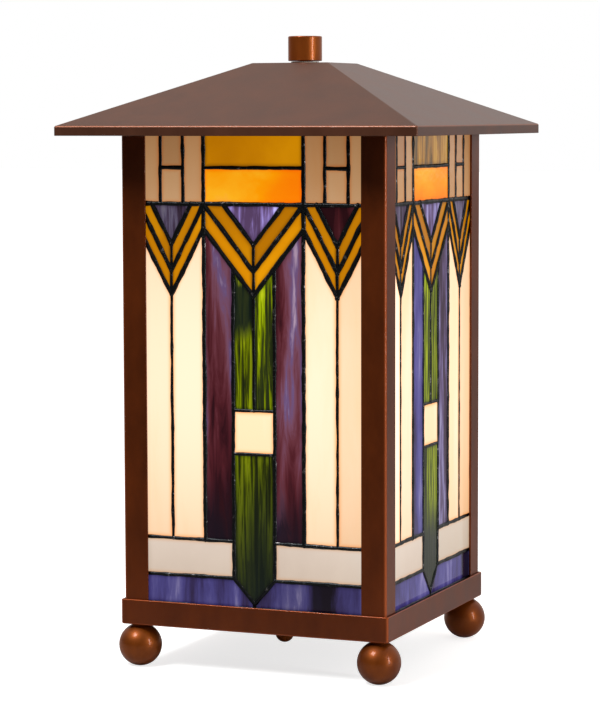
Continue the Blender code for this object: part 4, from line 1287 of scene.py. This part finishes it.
def frosted_finish():
    graph = finish("frosted_glass", {"Roughness": 0.5, "Emission Strength": 1.0})
    place = graph.place()
    low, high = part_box("bulb_glass")
    up = (graph.part(place, "Z") - low.z) / (high.z - low.z)
    grain = graph.noise(place, 1200.0, detail=2.0)
    glow = graph.ramp(up, [(0.0, srgb(214, 170, 112)), (0.45, srgb(255, 232, 190)),
                           (0.8, srgb(255, 244, 220)), (1.0, srgb(255, 238, 204))])
    return feed(graph, {
        "Base Color": graph.mix(grain, srgb(236, 230, 218), srgb(246, 242, 234)),
        "Emission Color": glow,
        "Normal": graph.relief(grain, 0.03 * MM, 0.4)})


BRASS = brass_finish()
PHENOLIC = grained_finish("phenolic", {"Specular IOR Level": 0.5}, srgb(30, 24, 20),
                          srgb(52, 42, 36), grain=900.0, detail=3.0, depth=0.04 * MM)
FROSTED = frosted_finish()


def riser_pipe():
    """Lamp pipe, threaded from end to end, and the two nuts that clamp it in the tray."""
    low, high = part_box("riser_pipe")
    tooth, bore = 0.5 * MM, 3.2 * MM
    core_r = high.x - tooth
    section = [(core_r, low.z), (core_r, high.z), (bore, high.z), (bore, low.z)]
    core = turned(filleted(section, 0.3 * MM, 2), steps=40, closed=True)
    mesh = threaded(core, high.x, low.z, high.z, 1.0 * MM, tooth, BRASS)
    finished("riser_pipe", mesh, "brass", BRASS)
    for nut in ("pipe_nut", "pipe_lock_nut"):
        finished(nut, hex_nut(nut, bore=4.9 * MM), "brass", BRASS)


HOLDER_FLOOR = 68.0 * MM            # the web inside the holder that carries the contact
WIRE_HOLE_AT = 11.0 * MM
RIBS = 24
RIB_DEEP = 0.55 * MM
ON_WALL = 0.01 * MM                 # how close to the outer wall a point counts as on it
BULB_PITCH = 3.6 * MM               # the bulb's round thread, in the shell and on the cap


def ribbed_outline(outline, radius, low, high):
    """The outline with points added on the outer wall, where the ribs start and stop."""
    result = []
    for point, following in zip(outline, outline[1:] + outline[:1]):
        result.append(point)
        on_wall = all(abs(p[0] - radius) < ON_WALL for p in (point, following))
        if on_wall and point[1] < low and following[1] > high:
            result += [(radius, z) for z in (low - 0.4 * MM, low, high, high + 0.4 * MM)]
    return result


def holder_body():
    """The moulded body: a ribbed lower half to grip, a plain mouth, two wire holes."""
    low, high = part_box("holder_body")
    radius, neck, mouth = high.x, 5.1 * MM, 14.8 * MM
    waist = radius - 0.8 * MM
    section = [(neck, low.z), (radius - 3.5 * MM, low.z), (radius, low.z + 5.0 * MM),
               (radius, high.z - 14.0 * MM), (waist, high.z - 13.0 * MM),
               (waist, high.z - 3.4 * MM), (radius, high.z - 2.6 * MM), (radius, high.z),
               (mouth, high.z), (mouth, HOLDER_FLOOR), (neck, HOLDER_FLOOR)]
    radii = [0.3 * MM, 1.0 * MM, 1.5 * MM, *[0.5 * MM] * 4, 0.7 * MM, 0.4 * MM, 0.5 * MM, 0.2 * MM]
    ribs_low, ribs_high = low.z + 6.0 * MM, high.z - 15.0 * MM
    turns = [math.tau * i / 192 for i in range(192)]
    rows = []
    for r, z in ribbed_outline(filleted(section, radii, 3), radius, ribs_low, ribs_high):
        ribbed = r > radius - ON_WALL and ribs_low <= z <= ribs_high
        deep = RIB_DEEP if ribbed else 0.0
        reach = [r - deep * max(0.0, math.cos(RIBS * turn)) for turn in turns]
        rows.append([(wide * math.cos(turn), wide * math.sin(turn), z)
                     for turn, wide in zip(turns, reach)])
    holes = pegs([(0.0, y, 1.8 * MM, low.z - MM, HOLDER_FLOOR + MM)
                  for y in (-WIRE_HOLE_AT, WIRE_HOLE_AT)])
    finished("holder_body", cut_away(mesh_of(skinned(rows)), holes), "phenolic", PHENOLIC)


def holder_metal():
    """The screw shell, with its thread rolled inwards, and the springy centre contact."""
    low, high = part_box("holder_screw_shell")
    inner = 13.8 * MM
    section = [(high.x, low.z), (high.x, high.z), (inner, high.z), (inner, low.z)]
    core = turned(filleted(section, 0.15 * MM, 2), steps=72, closed=True)
    mesh = threaded(core, inner + 0.7 * MM, low.z, high.z, BULB_PITCH, 0.6 * MM, BRASS,
                    facets=10)
    finished("holder_screw_shell", mesh, "brass", BRASS, name="screw_shell_finished")
    low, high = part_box("holder_contact")
    button, base = 3.0 * MM, low.z + MM
    profile = [(0.0, low.z), (high.x, low.z), (high.x, base), (button, base),
               (button, high.z - 1.2 * MM), (0.0, high.z)]
    radii = [0.0, 0.2 * MM, 0.2 * MM, 0.6 * MM, 1.0 * MM, 0.0]
    mesh = turned(filleted(profile, radii, 5, closed=False), steps=40)
    finished("holder_contact", mesh, "brass", BRASS)


def bulb():
    """A blown globe that narrows to a neck, cemented into its threaded cap."""
    low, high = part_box("bulb_glass")
    globe, middle = 30.0 * MM, 155.0 * MM
    neck, neck_z, cap_r = 14.2 * MM, low.z + 7.7 * MM, 13.1 * MM
    turns = [math.radians(120) * i / 32 for i in range(33)]
    side = [(globe * math.sin(a), middle + globe * math.cos(a)) for a in turns]
    wide, start = side[-1]
    flare = [(neck + (wide - neck) * (1.0 - t) ** 1.5, start + (neck_z - start) * t)
             for t in (i / 10 for i in range(1, 11))]
    mesh = turned([*side, *flare, (cap_r, low.z + 0.4 * MM), (cap_r - 0.4 * MM, low.z),
                   (0.0, low.z)], steps=72)
    finished("bulb_glass", mesh, "bulb_glass", FROSTED, body="bulb")
    low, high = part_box("bulb_cap")
    core_r, tip = cap_r - 0.8 * MM, 8.0 * MM
    core = turned([(0.0, low.z), (tip, low.z), (core_r - 0.6 * MM, low.z + 3.0 * MM),
                   (core_r, low.z + 3.8 * MM), (core_r, high.z - 3.4 * MM),
                   (cap_r, high.z - 2.8 * MM), (cap_r, high.z - 0.3 * MM),
                   (cap_r - 0.3 * MM, high.z), (0.0, high.z)], steps=72)
    mesh = threaded(core, cap_r, low.z + 3.0 * MM, high.z - 2.6 * MM, BULB_PITCH, 1.0 * MM,
                    PLATED, facets=14)
    finished("bulb_cap", mesh, "plated_steel", PLATED, body="bulb")
    low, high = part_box("bulb_contact")
    mesh = turned([(0.0, low.z), (1.8 * MM, low.z), (2.6 * MM, low.z + 0.3 * MM),
                   (3.4 * MM, low.z + 1.0 * MM), (high.x, high.z - 0.6 * MM),
                   (high.x, high.z), (0.0, high.z)], steps=40)
    finished("bulb_contact", mesh, "brass", BRASS, body="bulb_contact")


riser_pipe()
holder_body()
holder_metal()
bulb()


# ---- Switch and wires --------------------------------------------------------------------
# A turn switch sits in the tray with its ball knob underneath, in reach of a finger. Brown
# insulated leads join it and the cord's inlet to the holder.

INSULATION = grained_finish("insulation", {"Roughness": 0.5}, srgb(52, 34, 22), srgb(84, 58, 40),
                            grain=1600.0, detail=2.0, depth=0.05 * MM, strength=0.5)
SHAFT_R = 1.6 * MM


def switch():
    """The moulded body with its threaded bush through the floor, a ring nut and the knob."""
    at = (0.0, SWITCH_AT)
    low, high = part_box("switch_body")
    seat, radius, bush = high.z - 17.0 * MM, high.x, 4.0 * MM
    bush_end, shoulder, cover = seat - 3.9 * MM, high.z - 4.0 * MM, radius - 1.2 * MM
    profile = [(0.0, low.z), (SHAFT_R, low.z), (SHAFT_R, bush_end), (bush, bush_end),
               (bush, seat), (radius, seat), (radius, shoulder), (cover, shoulder),
               (cover, high.z), (0.0, high.z)]
    radii = [0.0, 0.2 * MM, 0.0, 0.3 * MM, 0.1 * MM, *[0.5 * MM] * 4, 0.0]
    mesh = turned(filleted(profile, radii, 3, closed=False), steps=56, at=at)
    finished("switch_body", mesh, "phenolic", PHENOLIC)
    low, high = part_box("switch_nut")
    knurls, knurl_deep, inner, rim = 40, 0.12 * MM, 4.3 * MM, 6.0 * MM
    section = filleted([(inner, low.z), (high.x, low.z), (high.x, high.z), (inner, high.z)],
                       0.25 * MM, 2)
    rings = [[(r * math.cos(t), SWITCH_AT + r * math.sin(t), z) for r, t in
              ((wide - (knurl_deep if i % 2 and wide > rim else 0.0), math.pi * i / knurls)
               for i in range(2 * knurls))] for wide, z in section]
    finished("switch_nut", mesh_of(skinned(rings)), "brass", BRASS)
    low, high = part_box("switch_knob")
    ball, middle = (high.x - low.x) / 2, low.z + 5.4 * MM
    bore, floor_z = SHAFT_R + 0.3 * MM, middle + SHAFT_R - 0.3 * MM
    start = math.acos((bore + 1.0 * MM) / ball)
    side = [(ball * math.cos(a), middle + ball * math.sin(a))
            for a in (start - (start + QUARTER) * i / 24 for i in range(24))]
    mesh = turned([(0.0, floor_z), (bore, floor_z), (bore, side[0][1]), *side, (0.0, low.z)],
                  steps=48, at=at)
    finished("switch_knob", mesh, "bronze_paint", KNOB_BRONZE, body="switch_knob")


def cord_bush():
    """A nylon bush snapped into the floor; the mains cord comes in through it."""
    low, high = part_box("cord_bush")
    rim, body, bore = high.x, 4.6 * MM, 3.4 * MM
    seat = low.z + 1.4 * MM
    section = [(bore, low.z), (rim, low.z), (rim, seat), (body, seat), (body, high.z),
               (bore, high.z)]
    radii = [0.5 * MM, 0.5 * MM, 0.2 * MM, 0.1 * MM, 0.4 * MM, 0.4 * MM]
    mesh = turned(filleted(section, radii, 3), steps=56, closed=True, at=(0.0, INLET_AT))
    finished("cord_bush", mesh, "nylon", NYLON)


def lead_tree():
    """A round lead that runs smoothly through a row of points."""
    graph, given = new_tree("lead", {"Radius": "Float", "Step": "Float",
                                     "Insulation": "Material"})
    line = graph.node("GeometryNodeMeshToCurve", None, {"Mesh": given["Geometry"]})
    line = graph.node("GeometryNodeCurveSplineType", {"spline_type": "CATMULL_ROM"},
                      {"Curve": line})
    line = graph.node("GeometryNodeResampleCurve", {"mode": "LENGTH"},
                      {"Curve": line, "Length": given["Step"]})
    tube = round_bar(graph, line, 16, given["Radius"])
    return end_tree(graph, tube, given["Insulation"])


LEAD_TREE = lead_tree()
# Where each lead runs, in millimetres, through the bottom of the tray.
ROUTES = {
    "lead_inlet_to_switch": [
        (-1.4, 45.0, 32.0), (-4.0, 42.0, 36.0), (-14.0, 30.0, 33.0), (-20.0, 10.0, 28.3),
        (-20.0, -12.0, 31.3), (-14.0, -26.0, 43.1), (-8.0, -32.0, 49.1), (-4.5, -33.0, 48.1),
        (-4.0, -33.0, 43.4)],
    "lead_inlet_to_holder": [
        (1.4, 43.6, 32.0), (4.0, 38.0, 37.0), (3.0, 26.0, 42.0), (0.0, 15.0, 50.0),
        (0.0, 11.0, 57.0), (0.0, 11.0, 65.0)],
    "lead_switch_to_holder": [
        (4.0, -33.0, 43.4), (3.8, -32.5, 46.1), (2.5, -26.0, 49.1), (0.5, -16.0, 51.0),
        (0.0, -11.0, 57.0), (0.0, -11.0, 65.0)],
}


def leads():
    for node, route in ROUTES.items():
        mesh = bpy.data.meshes.new("route")
        mesh.from_pydata([Vector(point) * MM for point in route],
                         [(i, i + 1) for i in range(len(route) - 1)], [])
        mesh = grown(mesh, LEAD_TREE, {"Radius": 1.2 * MM, "Step": 0.8 * MM,
                                       "Insulation": INSULATION})
        finished(node, mesh, "wire_insulation", INSULATION)


switch()
cord_bush()
leads()
